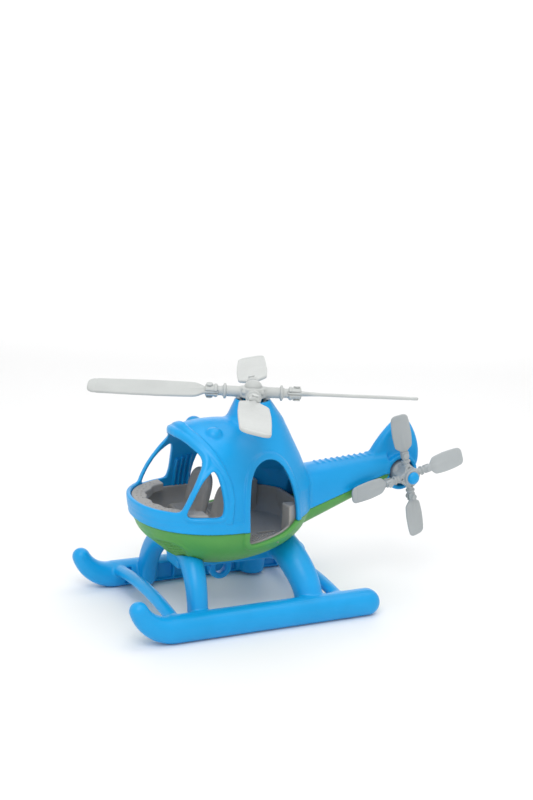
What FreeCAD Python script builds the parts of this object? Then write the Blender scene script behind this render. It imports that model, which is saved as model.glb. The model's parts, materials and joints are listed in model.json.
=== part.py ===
"""Toy helicopter: a parametric FreeCAD document of separate moulded pieces.

Every piece is modelled about the main rotor's mast axis: +X is the nose, +Y is
port, +Z is up, the floor is z = 0 and all lengths are millimetres. The sheet's
mast_x then carries each finished piece along X, so that the origin of the whole
toy is the middle of its footprint.
"""
import FreeCAD, Part
import math
import os
from functools import lru_cache

from FreeCAD import Placement, Rotation, Vector

# ---------------------------------------------------------------- driving sizes

SIZES = {
    # whole toy
    "mast_x": 31.58,
    "gap": 0.3,
    # cabin, an egg: superelliptic waterlines between a keel and a roof
    "cabin_x": 30.0,
    "cabin_half_width": 56.0,
    "parting_height": 75.0,
    "keel_height": 38.6,
    "roof_height": 147.5,
    "nose_reach": 65.0,
    "nose_height": 92.0,
    "tail_reach": 76.5,
    "shell_wall": 2.4,
    "sill_proud": 0.8,
    # openings of the cabin
    "door_front_x": 25.0,
    "door_rear_x": -20.5,
    "door_top": 122.5,
    "door_bottom": 64.0,
    "window_front_x": 69.0,
    "window_rear_x": 45.0,
    "window_bottom": 87.3,
    "window_top": 120.0,
    "screen_half_width": 42.0,
    "screen_bottom": 92.5,
    "screen_top": 139.0,
    "boss_x": 40.0,
    "boss_y": 19.0,
    "boss_z": 141.0,
    "boss_radius": 7.0,
    "boss_height": 4.0,
    # mast fairing
    "mast_top": 160.2,
    "mast_radius": 13.6,
    "mast_waist_height": 147.0,
    "mast_waist_radius": 20.8,
    "mast_waist_set_back": 2.7,
    "mast_foot_height": 100.0,
    "mast_well_radius": 11.6,
    "mast_well_depth": 8.0,
    # tail boom, fin and tail rotor cup
    "boom_root_x": -46.0,
    "boom_root_half_width": 19.0,
    "boom_root_top": 105.0,
    "boom_root_bottom": 59.5,
    "boom_tip_half_width": 11.5,
    "boom_tip_top": 109.5,
    "boom_tip_bottom": 86.0,
    "boom_tip_parting": 94.6,
    "fin_foot_depth": 8.0,
    "fin_thickness": 9.0,
    "fin_top": 137.6,
    "fin_rear_x": -151.6,
    "cup_x": -131.2,
    "cup_z": 93.8,
    "cup_radius": 14.5,
    "cup_rim_y": 11.0,
    "cup_back_y": -9.5,
    "cup_well_depth": 12.0,
    # cabin tray, dashboard and seats
    "tray_floor": 61.0,
    "tray_base": 58.4,
    "tray_rim": 81.0,
    "tray_wall": 2.2,
    "tray_rear_x": -38.0,
    "post_front_x": -14.0,
    "post_rear_x": -23.0,
    "post_inner_y": 29.0,
    "post_top": 86.0,
    "dash_height": 7.0,
    "dash_depth": 11.0,
    "seat_front_x": 50.0,
    "seat_y": 24.0,
    "seat_width": 36.0,
    "seat_depth": 18.0,
    "seat_cushion_height": 9.0,
    "seat_back_height": 40.5,
    "seat_back_thickness": 5.5,
    "seat_back_lean": 8.0,
    "seat_crown_radius": 9.0,
    # landing gear
    "skid_track": 60.3,
    "skid_radius": 10.1,
    "skid_flat": 0.4,
    "skid_rear_x": -75.0,
    "skid_bend_x": 86.0,
    "skid_bend_radius": 29.0,
    "skid_bend_angle": 66.0,
    "skid_tip_radius": 6.8,
    "front_leg_radius": 8.6,
    "front_leg_foot_x": 62.5,
    "front_leg_top_x": 57.0,
    "front_leg_top_z": 47.0,
    "rear_leg_radius": 10.7,
    "rear_leg_foot_x": -31.0,
    "rear_leg_top_x": -24.0,
    "rear_leg_top_z": 44.0,
    "leg_foot_y": 50.0,
    "leg_foot_z": 10.0,
    "leg_top_y": 12.0,
    "bow_radius": 4.2,
    "bow_height": 13.0,
    "bow_rise": 6.0,
    "front_bow_x": 83.0,
    "rear_bow_x": -53.0,
    "saddle_front_x": 65.0,
    "saddle_rear_x": -35.0,
    "saddle_half_width": 12.0,
    "saddle_bottom": 35.0,
    "ring_x": 22.0,
    "ring_z": 29.0,
    "ring_radius": 9.0,
    "ring_hole_radius": 4.5,
    "ring_thickness": 7.0,
    # main rotor
    "rotor_height": 165.65,
    "rotor_radius": 125.0,
    "rotor_phase": -25.4,
    "blade_pitch": 12.0,
    "blade_chord": 25.0,
    "blade_thickness": 2.4,
    "blade_shoulder": 43.0,
    "blade_root": 26.0,
    "blade_neck_width": 8.0,
    "hub_radius": 10.0,
    "hub_height": 8.0,
    "arm_radius": 4.6,
    "arm_length": 36.5,
    "collar_radius": 6.0,
    "collar_reach": 21.5,
    "collar_width": 2.0,
    "pin_radius": 1.6,
    "pin_head_radius": 2.6,
    "pin_head_height": 0.9,
    "pin_reach": 33.0,
    "link_radius": 1.5,
    "link_reach": 9.4,
    "cap_radius": 6.7,
    "cap_gap": 0.4,
    "cap_height": 5.0,
    "shaft_radius": 4.0,
    "shaft_clearance": 0.06,
    "bush_wall": 2.0,
    "bush_length": 9.0,
    "clip_radius": 7.5,
    "clip_thickness": 2.0,
    # tail rotor
    "tail_plane_y": 20.0,
    "tail_radius": 52.0,
    "tail_phase": 14.3,
    "tail_pitch": 10.0,
    "tail_chord": 16.2,
    "tail_thickness": 1.8,
    "tail_shoulder": 26.0,
    "tail_root": 13.5,
    "tail_neck_width": 5.0,
    "tail_hub_radius": 9.2,
    "tail_hub_front": 24.0,
    "tail_hub_back": 4.0,
    "tail_nose_radius": 6.4,
    "tail_nose_length": 3.6,
    "tail_arm_radius": 3.4,
    "tail_arm_length": 21.0,
    "tail_pin_radius": 1.1,
    "tail_pin_head_radius": 2.3,
    "tail_pin_head_height": 0.7,
    "tail_pin_reach": 18.3,
    "tail_axle_radius": 2.5,
    "tail_cap_radius": 5.0,
    "tail_cap_height": 3.8,
}

doc = FreeCAD.newDocument("toy_helicopter")
sheet = doc.addObject("Spreadsheet::Sheet", "sizes")
for row, (alias, value) in enumerate(SIZES.items(), start=1):
    sheet.set(f"A{row}", alias)
    sheet.set(f"B{row}", str(value))
    sheet.setAlias(f"B{row}", alias)
doc.recompute()


def size(alias):
    """The sheet's present value of one driving size."""
    return float(sheet.get(alias))


# ------------------------------------------------------------------ small tools

NODES = {}
LEVEL = Rotation()
LYING_Y = Rotation(Vector(1, 0, 0), -90)


def keep(name, thing):
    """Makes a finished object a sub-part and carries it from the mast axis to the row origin."""
    thing.Label = name
    thing.setExpression("Placement.Base.x", f"{thing.Placement.Base.x} + sizes.mast_x")
    NODES[name] = thing
    return thing


def bind(thing, **sizes):
    """Ties properties of an object to expressions over the sheet."""
    for prop, formula in sizes.items():
        thing.setExpression(prop.replace("__", "."), formula)
    return thing


def primitive(kind, name, base=(0, 0, 0), turn=LEVEL, **sizes):
    """A Part primitive with its sizes tied to the sheet."""
    thing = doc.addObject(f"Part::{kind}", name)
    thing.Placement = Placement(Vector(*base), turn)
    return bind(thing, **sizes)


def fuse(name, *things):
    thing = doc.addObject("Part::MultiFuse", name)
    thing.Shapes = list(things)
    thing.Refine = True
    return thing


def cut(name, base, tool):
    thing = doc.addObject("Part::Cut", name)
    thing.Base = base
    thing.Tool = tool
    return thing


def shape_feature(name, shape):
    """A computed solid, for the free-form pieces that no primitive or sketch describes."""
    thing = doc.addObject("Part::Feature", name)
    thing.Shape = shape
    thing.Placement = Placement()
    return thing


def origin_plane(body, role):
    return next(f for f in body.Origin.OriginFeatures if f.Role == role)


def box(low, high):
    low, high = Vector(*low), Vector(*high)
    return Part.makeBox(high.x - low.x, high.y - low.y, high.z - low.z, low)


def prism_y(points, half_depth):
    """A prism across the toy over an outline in the side view, given as (x, z) pairs."""
    wire = Part.makePolygon([Vector(x, -half_depth, z) for x, z in points + points[:1]])
    return Part.Face(wire).extrude(Vector(0, 2 * half_depth, 0))


def spline_prism_y(runs, low_y, high_y):
    """A prism across the toy whose side-view outline is made of smooth runs of (x, z) points."""
    edges = []
    for run in runs:
        points = [Vector(x, low_y, z) for x, z in run]
        if len(points) == 2:
            edges.append(Part.LineSegment(*points).toShape())
        else:
            curve = Part.BSplineCurve()
            curve.interpolate(points)
            edges.append(curve.toShape())
    return Part.Face(Part.Wire(edges)).extrude(Vector(0, high_y - low_y, 0))


# --------------------------------------------------------------- the cabin's egg

WATERLINE_POINTS = 28
FRONT_POWER = 2.2
REAR_POWER = 2.0
SIDE_POWER = 1.85
BELLY_POWER = 2.0
FOOT_SINK = 0.7
LEVELS_BELOW = (84, 70, 56, 42, 28, 14)
LEVELS_ABOVE = (0, 12, 24, 36, 48, 59, 69, 78, 84)


def falloff(share, power):
    """How much of a reach is left at a share of the way to where it ends."""
    return max(0.0, 1.0 - abs(share) ** power) ** (1.0 / power)


def egg_reaches(height, inset):
    """The egg's reach forward, aft and sideways at a height, moved in by inset."""
    parting = size("parting_height")
    keel = size("keel_height") + inset
    roof = size("roof_height") - inset
    nose = size("nose_height")
    above = height > parting
    share = (height - parting) / (roof - parting) if above else (parting - height) / (parting - keel)
    nose_share = (height - nose) / (roof - nose) if height > nose else (nose - height) / (nose - keel)
    forward = (size("nose_reach") - inset) * falloff(nose_share, FRONT_POWER if height > nose else BELLY_POWER)
    aft = (size("tail_reach") - inset) * falloff(share, REAR_POWER)
    side = (size("cabin_half_width") - inset) * falloff(share, SIDE_POWER if above else BELLY_POWER)
    return forward, aft, side


def waterline(height, inset):
    """One closed horizontal outline of the egg."""
    forward, aft, side = egg_reaches(height, inset)
    points = []
    for k in range(WATERLINE_POINTS):
        angle = 2 * math.pi * k / WATERLINE_POINTS
        c, s = math.cos(angle), math.sin(angle)
        power = FRONT_POWER if c > 0 else REAR_POWER
        reach = forward if c > 0 else aft
        x = size("cabin_x") + math.copysign(reach * abs(c) ** (2 / power), c)
        y = math.copysign(side * abs(s) ** (2 / power), s)
        points.append(Vector(x, y, height))
    curve = Part.BSplineCurve()
    curve.interpolate(points, PeriodicFlag=True)
    return Part.Wire(curve.toShape())


@lru_cache(maxsize=None)
def egg(inset):
    """The egg as one solid, lofted through its waterlines."""
    parting = size("parting_height")
    below = parting - size("keel_height") - inset
    above = size("roof_height") - inset - parting
    heights = [parting - below * math.sin(math.radians(a)) for a in LEVELS_BELOW]
    heights += [parting + above * math.sin(math.radians(a)) for a in LEVELS_ABOVE]
    return Part.makeLoft([waterline(h, inset) for h in heights], True, False)


def ring_at(x, height, radius):
    return Part.Wire(Part.makeCircle(radius, Vector(x, 0, height)))


def mast_fairing(inset, top):
    """The cone that rises from the roof round the rotor mast, steeper in front than behind."""
    low, waist = size("mast_foot_height"), size("mast_waist_height")
    r_low = egg_reaches(low, 0.0)[1] - size("cabin_x") - FOOT_SINK
    r_waist, r_top = size("mast_waist_radius"), size("mast_radius")
    back = size("mast_waist_set_back")
    left = (size("mast_top") - top) / (size("mast_top") - waist)
    r_end = r_top + left * (r_waist - r_top)
    rings = [ring_at(0, low, r_low - inset), ring_at(-back, waist, r_waist - inset),
             ring_at(-back * left, top, r_end - inset)]
    return Part.makeLoft(rings, True, True)


# ------------------------------------------------------------- boom, fin and cup

BOSS_SLOPE = (0.45, 0.9)
FIN_ROUNDING = 0.6
BOOM_POINTS = 20
BOOM_POWER = 2.3


def parting_at(x):
    """Height of the joint between the two shells: level under the cabin, rising along the boom."""
    root = size("boom_root_x")
    if x >= root:
        return size("parting_height")
    share = (x - root) / (boom_end() - root)
    return size("parting_height") + share * (size("boom_tip_parting") - size("parting_height"))


def boom_end():
    """Where the boom's last section stands, inside the tail rotor's cup."""
    return size("cup_x") + size("cup_radius") * 0.9


def boom_section(x, inset):
    """A cross-section of the boom: a rounded form, taller above the joint than below it."""
    root = size("boom_root_x")
    share = (x - root) / (boom_end() - root)
    half = size("boom_root_half_width") * (1 - share) + size("boom_tip_half_width") * share - inset
    top = size("boom_root_top") * (1 - share) + size("boom_tip_top") * share - inset
    bottom = size("boom_root_bottom") * (1 - share) + size("boom_tip_bottom") * share + inset
    middle = size("parting_height") * (1 - share) + size("boom_tip_parting") * share
    points = []
    for k in range(BOOM_POINTS):
        angle = 2 * math.pi * k / BOOM_POINTS
        c, s = math.cos(angle), math.sin(angle)
        tall = top - middle if s > 0 else middle - bottom
        y = math.copysign(half * abs(c) ** (2 / BOOM_POWER), c)
        points.append(Vector(x, y, middle + math.copysign(tall * abs(s) ** (2 / BOOM_POWER), s)))
    curve = Part.BSplineCurve()
    curve.interpolate(points, PeriodicFlag=True)
    return Part.Wire(curve.toShape())


def boom(inset):
    """The tail boom, from inside the cabin's rear wall to the tail rotor's cup."""
    root, end = size("boom_root_x"), boom_end() - (0 if inset == 0 else -3 * inset)
    starts = (root + 16, root, root + (end - root) / 2, end)
    return Part.makeLoft([boom_section(x, inset) for x in starts], True, False)


def fin(inset=0.0):
    """The rounded fin over the cup, as a plate with softened edges."""
    foot, top, rear = size("boom_tip_top") - 6, size("fin_top"), size("fin_rear_x")
    front = rear + 49
    rise = top - foot
    leading = [(front, foot), (front - 10, foot + 0.40 * rise), (front - 20, foot + 0.74 * rise),
               (front - 30, top)]
    trailing = [(front - 30, top), (rear + 9.5, foot + 0.84 * rise), (rear + 2.4, foot + 0.42 * rise),
                (rear, foot - 2)]
    half = size("fin_thickness") / 2
    base = foot - size("fin_foot_depth")
    runs = [leading, trailing, [(rear, foot - 2), (rear + 6, base)],
            [(rear + 6, base), (front, base)], [(front, base), (front, foot)]]
    plate = spline_prism_y(runs, -half, half)
    rims = [e for e in plate.Edges if e.Length > 20 and abs(e.CenterOfMass.y) > half - 0.1
            and e.CenterOfMass.z > foot]
    return plate.makeFillet(half * FIN_ROUNDING, rims)


def cup_body():
    """The round cup that the tail rotor's hub turns in, open to port."""
    low, high = size("cup_back_y"), size("cup_rim_y")
    base = Vector(size("cup_x"), low, size("cup_z"))
    drum = Part.makeCylinder(size("cup_radius"), high - low, base, Vector(0, 1, 0))
    back = [e for e in drum.Edges if abs(e.CenterOfMass.y - low) < 0.1 and e.Length > 20]
    return drum.makeFillet(4.0, back)


def cup_well():
    depth = size("cup_well_depth")
    base = Vector(size("cup_x"), size("cup_rim_y") - depth, size("cup_z"))
    return Part.makeCylinder(size("cup_radius") - size("shell_wall"), depth + 1, base, Vector(0, 1, 0))


# --------------------------------------------------------------------- openings


def door_prism():
    """The arched door through both sides; its foot dips into the lower shell."""
    front, rear = size("door_front_x"), size("door_rear_x")
    top, foot = size("door_top"), size("door_bottom")
    knee = size("parting_height")
    rise = top - knee
    middle = (front + rear) / 2 + 1
    arch = [(front, knee + 0.36 * rise), (front - 5, knee + 0.80 * rise), (middle, top),
            (rear + 9, knee + 0.84 * rise), (rear + 1.4, knee + 0.40 * rise)]
    runs = [arch, [arch[-1], (rear, knee)], [(rear, knee), (rear + 12, foot + 4.5)],
            [(rear + 12, foot + 4.5), (front - 5, foot)], [(front - 5, foot), (front, foot + 5)],
            [(front, foot + 5), arch[0]]]
    reach = size("cabin_half_width") + 10
    return spline_prism_y(runs, -reach, reach)


def window_prism():
    """The rounded triangular side windows, through both sides."""
    front, rear = size("window_front_x"), size("window_rear_x")
    top, foot = size("window_top"), size("window_bottom")
    rise = top - foot
    leading = [(front, foot + 2), (front - 2.5, foot + 0.25 * rise), (front - 8, foot + 0.62 * rise),
               (rear + 8, top - 3)]
    crown = [(rear + 8, top - 3), (rear + 5, top), (rear + 2.2, top - 4)]
    trailing = [(rear + 2.2, top - 4), (rear + 0.2, foot + 0.45 * rise), (rear, foot + 5)]
    runs = [leading, crown, trailing, [(rear, foot + 5), (rear + 5, foot)],
            [(rear + 5, foot), (front - 3, foot)], [(front - 3, foot), (front, foot + 2)]]
    reach = size("cabin_half_width") + 10
    return spline_prism_y(runs, -reach, reach)


def screen_prism():
    """The wide windscreen opening, cut straight back from the nose."""
    half, foot, top = size("screen_half_width"), size("screen_bottom"), size("screen_top")
    start = size("cabin_x") + 20
    rise = top - foot
    sides = [(half - 1.5, foot + 2), (half, foot + 0.2 * rise), (half * 0.94, foot + 0.54 * rise),
             (half * 0.82, foot + 0.74 * rise)]
    crown = [sides[-1], (half * 0.54, foot + 0.91 * rise), (0, top)]
    port = sides[:-1] + crown
    mirrored = [(-y, z) for y, z in port[::-1]]
    edges = []
    for run in (port, mirrored):
        curve = Part.BSplineCurve()
        curve.interpolate([Vector(start, y, z) for y, z in run])
        edges.append(curve.toShape())
    edges.append(Part.LineSegment(Vector(start, *mirrored[-1]), Vector(start, *port[0])).toShape())
    return Part.Face(Part.Wire(edges)).extrude(Vector(size("nose_reach") + 30, 0, 0))


# ------------------------------------------------------------------- the shells


def above_joint():
    """Everything over the joint between the two shells."""
    root, end = size("boom_root_x"), boom_end()
    ahead, behind, sky = 200.0, -250.0, 260.0
    outline = [(ahead, parting_at(ahead)), (root, parting_at(root)), (end, parting_at(end)),
               (end, 60.0), (behind, 60.0), (behind, sky), (ahead, sky)]
    return prism_y(outline, 150.0)


def sill():
    """The lip under the windscreen that stands proud of the nose."""
    height = size("screen_bottom")
    wide = egg(-size("sill_proud"))
    slab = box((size("cabin_x") + 34, -100, height - 9), (200, 100, height + 1.5))
    return wide.common(slab)


def hull_solid():
    return egg(0.0).fuse(boom(0.0))


def roof_bosses():
    """The two plain round bosses on the roof, one each side."""
    radius, lift = size("boss_radius"), size("boss_height")
    x, y = size("boss_x"), size("boss_y")
    sink = radius - lift
    centre = Vector(x, y - BOSS_SLOPE[0] * sink, size("boss_z") - BOSS_SLOPE[1] * sink)
    return [Part.makeSphere(radius, Vector(centre.x, sign * centre.y, centre.z)) for sign in (1, -1)]


def upper_shell():
    """The blue shell: cabin roof, mast fairing, boom top, fin and tail rotor cup."""
    wall = size("shell_wall")
    body = egg(0.0).fuse([mast_fairing(0.0, size("mast_top")), boom(0.0), sill()])
    body = body.common(above_joint()).fuse([fin(), cup_body()] + roof_bosses())
    well_floor = size("mast_top") - size("mast_well_depth")
    hollow = egg(wall).fuse([mast_fairing(wall, well_floor - wall), boom(wall)])
    well = Part.makeCylinder(size("mast_well_radius"), 20, Vector(0, 0, well_floor))
    bush_hole = Part.makeCylinder(bush_radius(), 40, Vector(0, 0, well_floor - 20))
    axle_hole = Part.makeCylinder(size("tail_axle_radius"), 30,
                                  Vector(size("cup_x"), size("cup_back_y") + 5, size("cup_z")),
                                  Vector(0, 1, 0))
    body = body.cut([hollow, well, bush_hole, cup_well(), axle_hole])
    return body.cut([door_prism(), window_prism(), screen_prism()])


def lower_shell():
    """The green shell: the boat-shaped belly and the underside of the boom."""
    wall = size("shell_wall")
    body = hull_solid().cut(above_joint())
    body = body.cut([egg(wall), boom(wall), cup_body()])
    return body.cut(door_prism())


def bush_radius():
    return size("shaft_radius") + size("shaft_clearance") + size("bush_wall")


# --------------------------------------------------------------------- interior


def tray():
    """The grey deck of the cabin: a floor, a low wall that follows the shells, a post behind each door."""
    skin = size("shell_wall") + size("gap")
    base, floor, rim = size("tray_base"), size("tray_floor"), size("tray_rim")
    rear, wall = size("tray_rear_x"), size("tray_wall")
    room = egg(skin)
    outer = room.common(box((rear, -100, base), (200, 100, rim)))
    inner = egg(skin + wall).common(box((rear + wall, -100, floor), (200, 100, rim + 1)))
    doorway = door_prism().common(box((-200, -100, floor), (200, 100, 200)))
    post = box((size("post_rear_x"), -100, base), (size("post_front_x"), 100, size("post_top")))
    aisle = box((size("post_rear_x") - 1, -size("post_inner_y"), floor),
                (size("post_front_x") + 1, size("post_inner_y"), 200))
    return outer.cut([inner, doorway]).fuse(room.common(post).cut(aisle))


def dashboard():
    """The crescent ledge under the windscreen, standing on the tray's front wall."""
    skin = size("shell_wall") + size("gap")
    low = size("tray_rim")
    slab = box((size("cabin_x") + 24, -100, low), (200, 100, low + size("dash_height")))
    crescent = egg(skin).common(slab)
    return crescent.cut(egg(skin + size("dash_depth")))


def seat(side, sign):
    """One of the two moulded seats: a low cushion and a rounded back that leans aft."""
    body = doc.addObject("PartDesign::Body", f"{side}_seat_body")
    profile = body.newObject("Sketcher::SketchObject", f"{side}_seat_profile")
    profile.AttachmentSupport = [(origin_plane(body, "XZ_Plane"), "")]
    profile.MapMode = "FlatFace"
    depth, high, lean = size("seat_depth"), size("seat_back_height"), size("seat_back_lean")
    lift, thick = size("seat_cushion_height"), size("seat_back_thickness")
    points = [(0, 0), (depth, 0), (depth, lift), (thick, lift), (thick - lean, high), (-lean, high)]
    vectors = [Vector(x, z, 0) for x, z in points]
    for a, b in zip(vectors, vectors[1:] + vectors[:1]):
        profile.addGeometry(Part.LineSegment(a, b))
    pad = body.newObject("PartDesign::Pad", f"{side}_seat_pad")
    pad.Profile = profile
    pad.Midplane = True
    pad.setExpression("Length", "sizes.seat_width")
    doc.recompute()
    crown = [f"Edge{i + 1}" for i, e in enumerate(pad.Shape.Edges)
             if e.CenterOfMass.z > high - 1 and abs(e.CenterOfMass.y) > 1]
    fillet = body.newObject("PartDesign::Fillet", f"{side}_seat_crown")
    fillet.Base = (pad, crown)
    fillet.setExpression("Radius", "sizes.seat_crown_radius")
    body.Tip = fillet
    body.Placement = Placement(Vector(size("seat_front_x") - depth, sign * size("seat_y"),
                                      size("tray_floor")), LEVEL)
    return body


# ----------------------------------------------------------------- landing gear

SKID_NOSE_SECTIONS = 5


def skid_nose(y):
    """The turned-up front of a runner, slimmer towards its tip."""
    r, bend, knee = size("skid_radius"), size("skid_bend_radius"), size("skid_bend_x")
    height = r - size("skid_flat")
    sections = []
    for n in range(SKID_NOSE_SECTIONS + 1):
        share = n / SKID_NOSE_SECTIONS
        a = math.radians(share * size("skid_bend_angle"))
        centre = Vector(knee + bend * math.sin(a), y, height + bend * (1 - math.cos(a)))
        along = Vector(math.cos(a), 0, math.sin(a))
        radius = r + share * (size("skid_tip_radius") - r)
        sections.append(Part.Wire(Part.makeCircle(radius, centre, along)))
    tip = Part.makeSphere(size("skid_tip_radius"), centre)
    return Part.makeLoft(sections, True, False).fuse(tip)


def skid(side, sign):
    """A round runner with a flat underside, turned up in front and rounded at both ends."""
    height = size("skid_radius") - size("skid_flat")
    y = sign * size("skid_track")
    run = primitive("Cylinder", f"{side}_skid_run", (size("skid_rear_x"), y, height),
                    Rotation(Vector(0, 1, 0), 90), Radius="sizes.skid_radius",
                    Height="sizes.skid_bend_x - sizes.skid_rear_x")
    nose = shape_feature(f"{side}_skid_nose", skid_nose(y))
    heel = primitive("Sphere", f"{side}_skid_heel", (size("skid_rear_x"), y, height),
                     Radius="sizes.skid_radius")
    floor = primitive("Box", f"{side}_skid_floor", (-300, y - 30, -20), Length="600", Width="60", Height="20")
    return cut(f"{side}_runner", fuse(f"{side}_skid_solid", run, nose, heel), floor)


def leg(name, end, top, foot):
    """A curved tube that leaves the saddle level and bends down to the runner."""
    top, foot = Vector(*top), Vector(*foot)
    across = Vector(foot.x - top.x, foot.y - top.y, 0)
    reach, drop = across.Length, top.z - foot.z
    across.normalize()
    radius = (reach ** 2 + drop ** 2) / (2 * drop)
    sweep = 2 * math.atan2(drop, reach)
    up = Vector(0, 0, 1)
    start = across * math.sin(sweep) + up * math.cos(sweep)
    turn = Rotation(start, Vector(), across.cross(up), "XZY")
    arc = primitive("Torus", f"{name}_arc", (top.x, top.y, top.z - radius), turn,
                    Radius2=f"sizes.{end}_leg_radius")
    arc.Radius1 = radius
    arc.Angle3 = math.degrees(sweep)
    return arc


def bow(name, x):
    """A low arched rod between the two runners."""
    span, rise = size("skid_track"), size("bow_rise")
    radius = (span ** 2 + rise ** 2) / (2 * rise)
    half = math.degrees(math.asin(span / radius))
    start = Vector(0, math.sin(math.radians(half)), math.cos(math.radians(half)))
    turn = Rotation(start, Vector(), Vector(1, 0, 0), "XZY")
    rod = primitive("Torus", f"{name}_rod", (x, 0, size("bow_height") + rise - radius), turn,
                    Radius2="sizes.bow_radius")
    rod.Radius1 = radius
    rod.Angle3 = 2 * half
    return rod


def saddle():
    """The keel plate that the legs spring from, shaped to the belly above it."""
    low, high = size("saddle_rear_x"), size("saddle_front_x")
    half = size("saddle_half_width")
    block = box((low, -half, size("saddle_bottom")), (high, half, size("parting_height") - 15))
    return block.cut(egg(-size("gap") / 10))


def belly_ring():
    """The sideways ring under the keel that a cord or hook goes through."""
    half = size("ring_thickness") / 2
    disc = primitive("Cylinder", "ring_disc", (size("ring_x"), -half, size("ring_z")), LYING_Y,
                     Radius="sizes.ring_radius", Height="sizes.ring_thickness")
    hole = primitive("Cylinder", "ring_hole", (size("ring_x"), -half - 1, size("ring_z")), LYING_Y,
                     Radius="sizes.ring_hole_radius", Height="sizes.ring_thickness + 2")
    return cut("ring", disc, hole)


# ------------------------------------------------------------------ main rotor


def polar(reach, degrees, height):
    a = math.radians(degrees)
    return (reach * math.cos(a), reach * math.sin(a), height)


def blade_body(name, prefix, root, tip):
    """A flat paddle along +X with a narrow neck, wide shoulders and a rounded tip."""
    neck, chord = size(f"{prefix}neck_width") / 2, size(f"{prefix}chord") / 2
    shoulder = size(f"{prefix}shoulder")
    body = doc.addObject("PartDesign::Body", name + "_body")
    outline = body.newObject("Sketcher::SketchObject", name + "_outline")
    outline.AttachmentSupport = [(origin_plane(body, "XY_Plane"), "")]
    outline.MapMode = "FlatFace"
    side = [(root, neck), (shoulder - 0.5 * (shoulder - root), neck), (shoulder, chord * 0.88),
            ((shoulder + tip) / 2, chord), (tip, chord * 0.72)]
    corners = [Vector(x, y, 0) for x, y in side] + [Vector(x, -y, 0) for x, y in side[::-1]]
    for start, end in zip(corners, corners[1:] + corners[:1]):
        outline.addGeometry(Part.LineSegment(start, end))
    pad = body.newObject("PartDesign::Pad", name + "_pad")
    pad.Profile = outline
    pad.Midplane = True
    pad.setExpression("Length", f"sizes.{prefix}thickness")
    doc.recompute()
    softened = pad
    for part_name, radius, first, last in (("waist", 0.8 * chord, root + 1, tip - 1),
                                           ("tip", 0.42 * chord, tip - 1, tip + 1)):
        upright = [(f"Edge{i + 1}", e.CenterOfMass.x) for i, e in enumerate(softened.Shape.Edges)
                   if abs(e.Vertexes[0].Z - e.Vertexes[-1].Z) > 0.5]
        fillet = body.newObject("PartDesign::Fillet", f"{name}_{part_name}")
        fillet.Base = (softened, [edge for edge, x in upright if first < x < last])
        fillet.Radius = radius
        doc.recompute()
        softened = fillet
    body.Tip = softened
    return body


def main_hub():
    """The hub: a drum with four collared grips, four links and a flange below."""
    z, high = size("rotor_height"), size("hub_height")
    pieces = [primitive("Cylinder", "hub_drum", (0, 0, z - high / 2),
                        Radius="sizes.hub_radius", Height="sizes.hub_height")]
    foot = size("mast_top") - size("mast_well_depth") + 1.0
    pieces.append(primitive("Cylinder", "hub_flange", (0, 0, foot),
                            Radius="sizes.mast_well_radius - 0.8", Height="2.4"))
    for k in range(4):
        heading = size("rotor_phase") + 90 * k
        out = Rotation(Vector(0, 0, 1), heading).multiply(Rotation(Vector(0, 1, 0), 90))
        pieces.append(primitive("Cylinder", f"hub_grip_{k + 1}", (0, 0, z), out,
                                Radius="sizes.arm_radius", Height="sizes.arm_length"))
        pieces.append(primitive("Cylinder", f"hub_collar_{k + 1}",
                                polar(size("collar_reach") - size("collar_width") / 2, heading, z), out,
                                Radius="sizes.collar_radius", Height="sizes.collar_width"))
        link = primitive("Cylinder", f"hub_link_{k + 1}", polar(size("link_reach"), heading, foot),
                         Radius="sizes.link_radius")
        link.Height = z - foot
        pieces.append(link)
    hub = fuse("hub_solid", *pieces)
    bore = primitive("Cylinder", "hub_bore", (0, 0, foot - 1), Radius="sizes.shaft_radius")
    bore.Height = z + high / 2 - foot + 2
    seat_face = primitive("Cylinder", "hub_cap_seat", (0, 0, z + high / 2),
                          Radius="sizes.cap_radius + sizes.cap_gap", Height="sizes.cap_height")
    sockets = [bore, seat_face]
    for k in range(4):
        heading = size("rotor_phase") + 90 * k
        turn = Rotation(Vector(0, 0, 1), heading).multiply(Rotation(Vector(1, 0, 0), -size("blade_pitch")))
        slot = primitive("Box", f"hub_slot_{k + 1}", (0, 0, 0), turn,
                         Length="sizes.arm_length", Width="2 * sizes.arm_radius + 2",
                         Height="sizes.blade_thickness")
        corner = turn.multVec(Vector(size("blade_root"), -size("arm_radius") - 1, -size("blade_thickness") / 2))
        slot.Placement = Placement(corner + Vector(0, 0, z), turn)
        sockets.append(slot)
        sockets.append(pin_hole(f"hub_pin_hole_{k + 1}", turn, z))
    return cut("hub", hub, fuse("hub_cuts", *sockets))


def pin_hole(name, turn, z):
    """The hole through a grip and a blade's neck that the blade's pin fills."""
    hole = primitive("Cylinder", name, (0, 0, 0), turn, Radius="sizes.pin_radius")
    hole.Height = 30
    foot = turn.multVec(Vector(size("pin_reach"), 0, -15))
    hole.Placement = Placement(foot + Vector(0, 0, z), turn)
    return hole


def blade_turn(k):
    """The rest attitude of main blade k: its heading round the mast, then its pitch."""
    heading = Rotation(Vector(0, 0, 1), size("rotor_phase") + 90 * (k - 1))
    return heading.multiply(Rotation(Vector(1, 0, 0), -size("blade_pitch")))


def main_blade(k):
    """One pitched paddle of the main rotor, its neck held in the grip's slot."""
    name = f"main_blade_{k}"
    body = blade_body(name, "blade_", size("blade_root"), size("rotor_radius"))
    body.Placement = Placement(Vector(0, 0, size("rotor_height")), blade_turn(k))
    return cut(name, body, pin_hole(name + "_hole", blade_turn(k), size("rotor_height")))


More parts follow.
